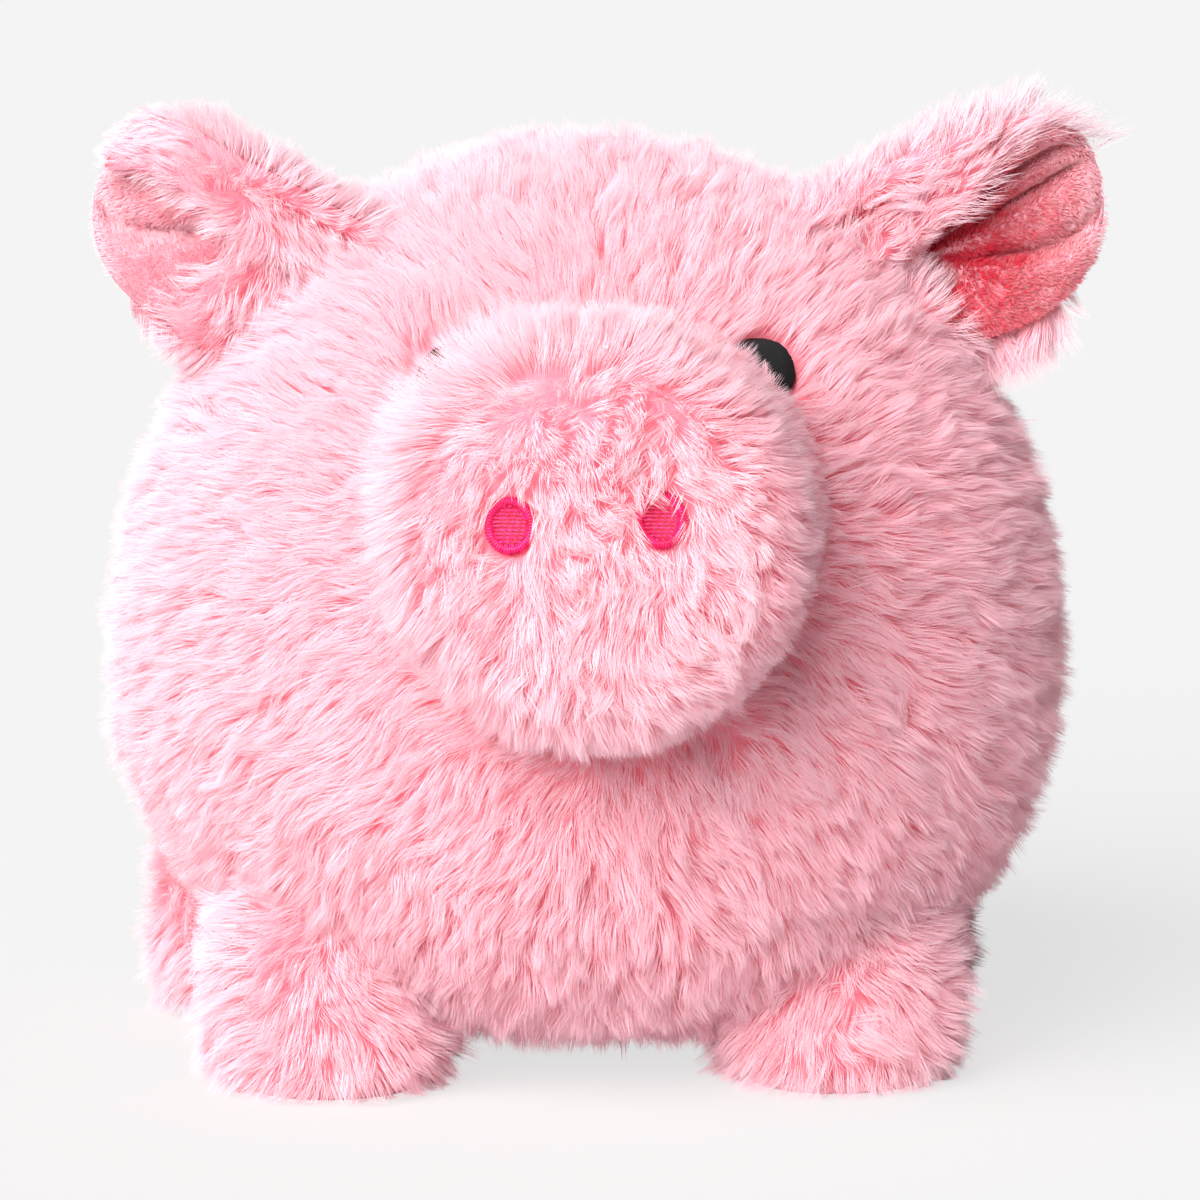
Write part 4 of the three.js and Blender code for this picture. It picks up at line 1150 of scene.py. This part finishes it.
# Embroidery: satin rows on the eyes, and on the nostrils a satin rim round a weave, in shares of their halves
EYE_STITCHES = {"pitch": 0.00056, "rise": 0.0018, "slant": math.radians(38)}
EYE_THREAD = 0.00036
RIM_STITCHES = 52
RIM_SHARES = np.linspace(0.62, 1.04, 6)
RIM_RISE = 0.0009
RIM_THREAD = 0.00030
WEAVE_LEVELS = np.linspace(-0.66, 0.66, 11)
WEAVE_HALF = 0.7
WEAVE_OVERLAP = 0.03
WEAVE_WAVES = 24
WEAVE_STEPS = (9, 40)
WEAVE_SIDEWAYS = 0.00012
WEAVE_RISE = 0.0006
WEAVE_RIPPLE = 0.0002
WEAVE_THREAD = 0.00026


def satin_rows(half, pitch, rise, slant, steps=9):
    """Paths of parallel stitches that fill an ellipse, in its own plane, standing up in the middle."""
    paths = []
    for offset in np.arange(-half[0] + pitch / 2, half[0], pitch):
        reach = half[1] * math.sqrt(1 - (offset / half[0]) ** 2)
        share = np.linspace(-1, 1, steps)
        height = rise * (1 - share ** 4) * math.sqrt(1 - (offset / half[0]) ** 2 * 0.6)
        along = share * reach
        x = offset * math.cos(slant) - along * math.sin(slant)
        y = offset * math.sin(slant) + along * math.cos(slant)
        paths.append(np.stack([x, y, height], axis=-1))
    return paths


def placed(path, patch):
    middle, axes = patch
    return middle + path @ axes


def make_eye(side):
    rows = satin_rows(EYE_HALF, **EYE_STITCHES)
    obj = joined(f"eye_{side}_stitches", [tube(placed(path, EYES[side]), EYE_THREAD) for path in rows])
    finished(obj, BLACK_THREAD, "black_thread", "pig", f"eye_{side}")


def make_nostril(side):
    patch = NOSTRILS[side]
    parts = []
    for turn in full_turn(RIM_STITCHES):
        ring = np.array([math.cos(turn), math.sin(turn)])
        flat = RIM_SHARES[:, None] * NOSTRIL_HALF * ring
        height = RIM_RISE * np.sin(np.linspace(0, math.pi, len(flat))) ** 0.5
        parts.append(tube(placed(np.concatenate([flat, height[:, None]], axis=1), patch), RIM_THREAD))
    for level in WEAVE_LEVELS:
        reach = math.sqrt(max(0.0, WEAVE_HALF ** 2 - level ** 2)) + WEAVE_OVERLAP
        share = np.linspace(-reach, reach, 17)
        sideways, upward = (np.sin(share * WEAVE_WAVES + level * step) for step in WEAVE_STEPS)
        y = level * NOSTRIL_HALF[1] + WEAVE_SIDEWAYS * sideways
        row = np.stack([share * NOSTRIL_HALF[0], y, WEAVE_RISE + WEAVE_RIPPLE * upward], axis=-1)
        parts.append(tube(placed(row, patch), WEAVE_THREAD))
    obj = joined(f"nostril_{side}_stitches", parts)
    finished(obj, MAGENTA_THREAD, "magenta_thread", "pig", f"nostril_{side}")


# Filling: lumpy fibre in the place of each plain filling solid
LUMP_SIZE = 0.018
LUMP_SEED = 5
LUMP_DEPTH = 0.0006
LUMP_HEIGHT = 0.0003


def make_filling(node):
    obj = linked(f"{node}_fibre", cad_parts[node].data.copy())
    work = bmesh.new()
    work.from_mesh(obj.data)
    bmesh.ops.remove_doubles(work, verts=work.verts, dist=MERGE_DISTANCE)
    bmesh.ops.subdivide_edges(work, edges=work.edges, cuts=1, use_grid_fill=True)
    bmesh.ops.recalc_face_normals(work, faces=work.faces)
    work.normal_update()
    places = np.array([v.co for v in work.verts])
    for vertex, lump in zip(work.verts, ripples(places, LUMP_SIZE, LUMP_SEED)):
        vertex.co -= vertex.normal * (LUMP_DEPTH + LUMP_HEIGHT * float(lump))
    work.to_mesh(obj.data)
    work.free()
    finished(obj, FIBRE, "filling", "pig", node, fill=0.8)


# Rigid pieces keep their solids and take a finish
def finish_bank():
    finishes = {
        PINK_PLASTIC: ("slot_frame", "outlet_collar"),
        WHITE_PLASTIC: (
            "slot_backing_plate", "canister_lid", "canister_wall", "canister_funnel", "canister_neck",
        ),
        RUBBER: ("stopper",),
    }
    for finish, nodes in finishes.items():
        for node in nodes:
            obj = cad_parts[node]
            obj.data.materials.clear()
            obj.data.materials.append(finish)


# Stage
BACKDROP = linear((244, 244, 244))
FLOOR_HALF = 9.0
FLOOR_ALBEDO = 0.72
FLOOR_EVENNESS = 0.72
FLOOR_GLOW = 0.99
FILL_STRENGTH = 0.11
KEY_STRENGTH = 4.8
KEY_ANGLE = math.radians(50)
KEY_DIRECTION = Vector((-0.43, -0.72, 0.55))
DIFFUSE_BOUNCES = 10


def seen_directly(tree):
    """Node whose Value is 1 for rays from the camera and for mirrored or refracted ones, and else 0."""
    rays = new_node(tree, "LightPath")
    source, output = rays, "Is Camera Ray"
    for kind in ("Is Glossy Ray", "Is Transmission Ray"):
        larger = new_node(tree, "Math")
        larger.operation = "MAXIMUM"
        link(source, output, larger, 0)
        link(rays, kind, larger, 1)
        source, output = larger, "Value"
    return source


def make_floor():
    corners = FLOOR_HALF * np.array([(-1, -1, 0), (1, -1, 0), (1, 1, 0), (-1, 1, 0)])
    floor = new_object("floor", corners, [[0, 1, 2, 3]])
    made, tree, shader = material("pale_floor", roughness=0.95, specular=0.0)
    shader.inputs["Base Color"].default_value = (FLOOR_ALBEDO, FLOOR_ALBEDO, FLOOR_ALBEDO, 1)
    glow = new_node(tree, "Emission", Strength=FLOOR_GLOW)
    share = new_node(tree, "Math")
    share.operation = "MULTIPLY"
    share.inputs[1].default_value = FLOOR_EVENNESS
    link(seen_directly(tree), "Value", share, 0)
    mix = new_node(tree, "MixShader")
    link(share, "Value", mix, "Fac")
    link(shader, "BSDF", mix, 1)
    link(glow, "Emission", mix, 2)
    link(mix, "Shader", tree.nodes["Material Output"], "Surface")
    floor.data.materials.append(made)


def make_light():
    world = bpy.context.scene.world or bpy.data.worlds.new("studio")
    bpy.context.scene.world = world
    world.use_nodes = True
    background = world.node_tree.nodes["Background"]
    background.inputs["Color"].default_value = (1, 1, 1, 1)
    strength = new_node(world.node_tree, "MapRange", **{"To Min": FILL_STRENGTH, "To Max": BACKDROP[0]})
    link(seen_directly(world.node_tree), "Value", strength, "Value")
    link(strength, "Result", background, "Strength")
    data = bpy.data.lights.new("key", "SUN")
    data.energy = KEY_STRENGTH
    data.angle = KEY_ANGLE
    key = linked("key", data)
    key.rotation_euler = KEY_DIRECTION.to_track_quat("Z", "Y").to_euler()


def make_camera():
    data = bpy.data.cameras.new("camera")
    data.lens = CAMERA_LENS
    data.sensor_width = 36.0
    data.clip_end = 60.0
    camera = linked("camera", data)
    flat = math.cos(CAMERA_ELEVATION)
    back = Vector((
        math.sin(CAMERA_AZIMUTH) * flat,
        -math.cos(CAMERA_AZIMUTH) * flat,
        math.sin(CAMERA_ELEVATION),
    ))
    camera.location = CAMERA_TARGET + back * CAMERA_DISTANCE
    camera.rotation_euler = back.to_track_quat("Z", "Y").to_euler()
    bpy.context.scene.camera = camera


bpy.context.scene.view_settings.view_transform = "Standard"
bpy.context.scene.cycles.diffuse_bounces = DIFFUSE_BOUNCES
make_camera()
make_floor()
make_light()
make_body()
make_snout()
for number, leg in enumerate(LEGS):
    make_leg(leg, number)
for number, (name, ear) in enumerate(EARS.items()):
    make_ear(name, ear, number)
make_tail()
for side in SIDES:
    make_eye(side)
    make_nostril(side)
for node in sorted(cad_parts):
    if node.endswith("stuffing"):
        make_filling(node)
finish_bank()
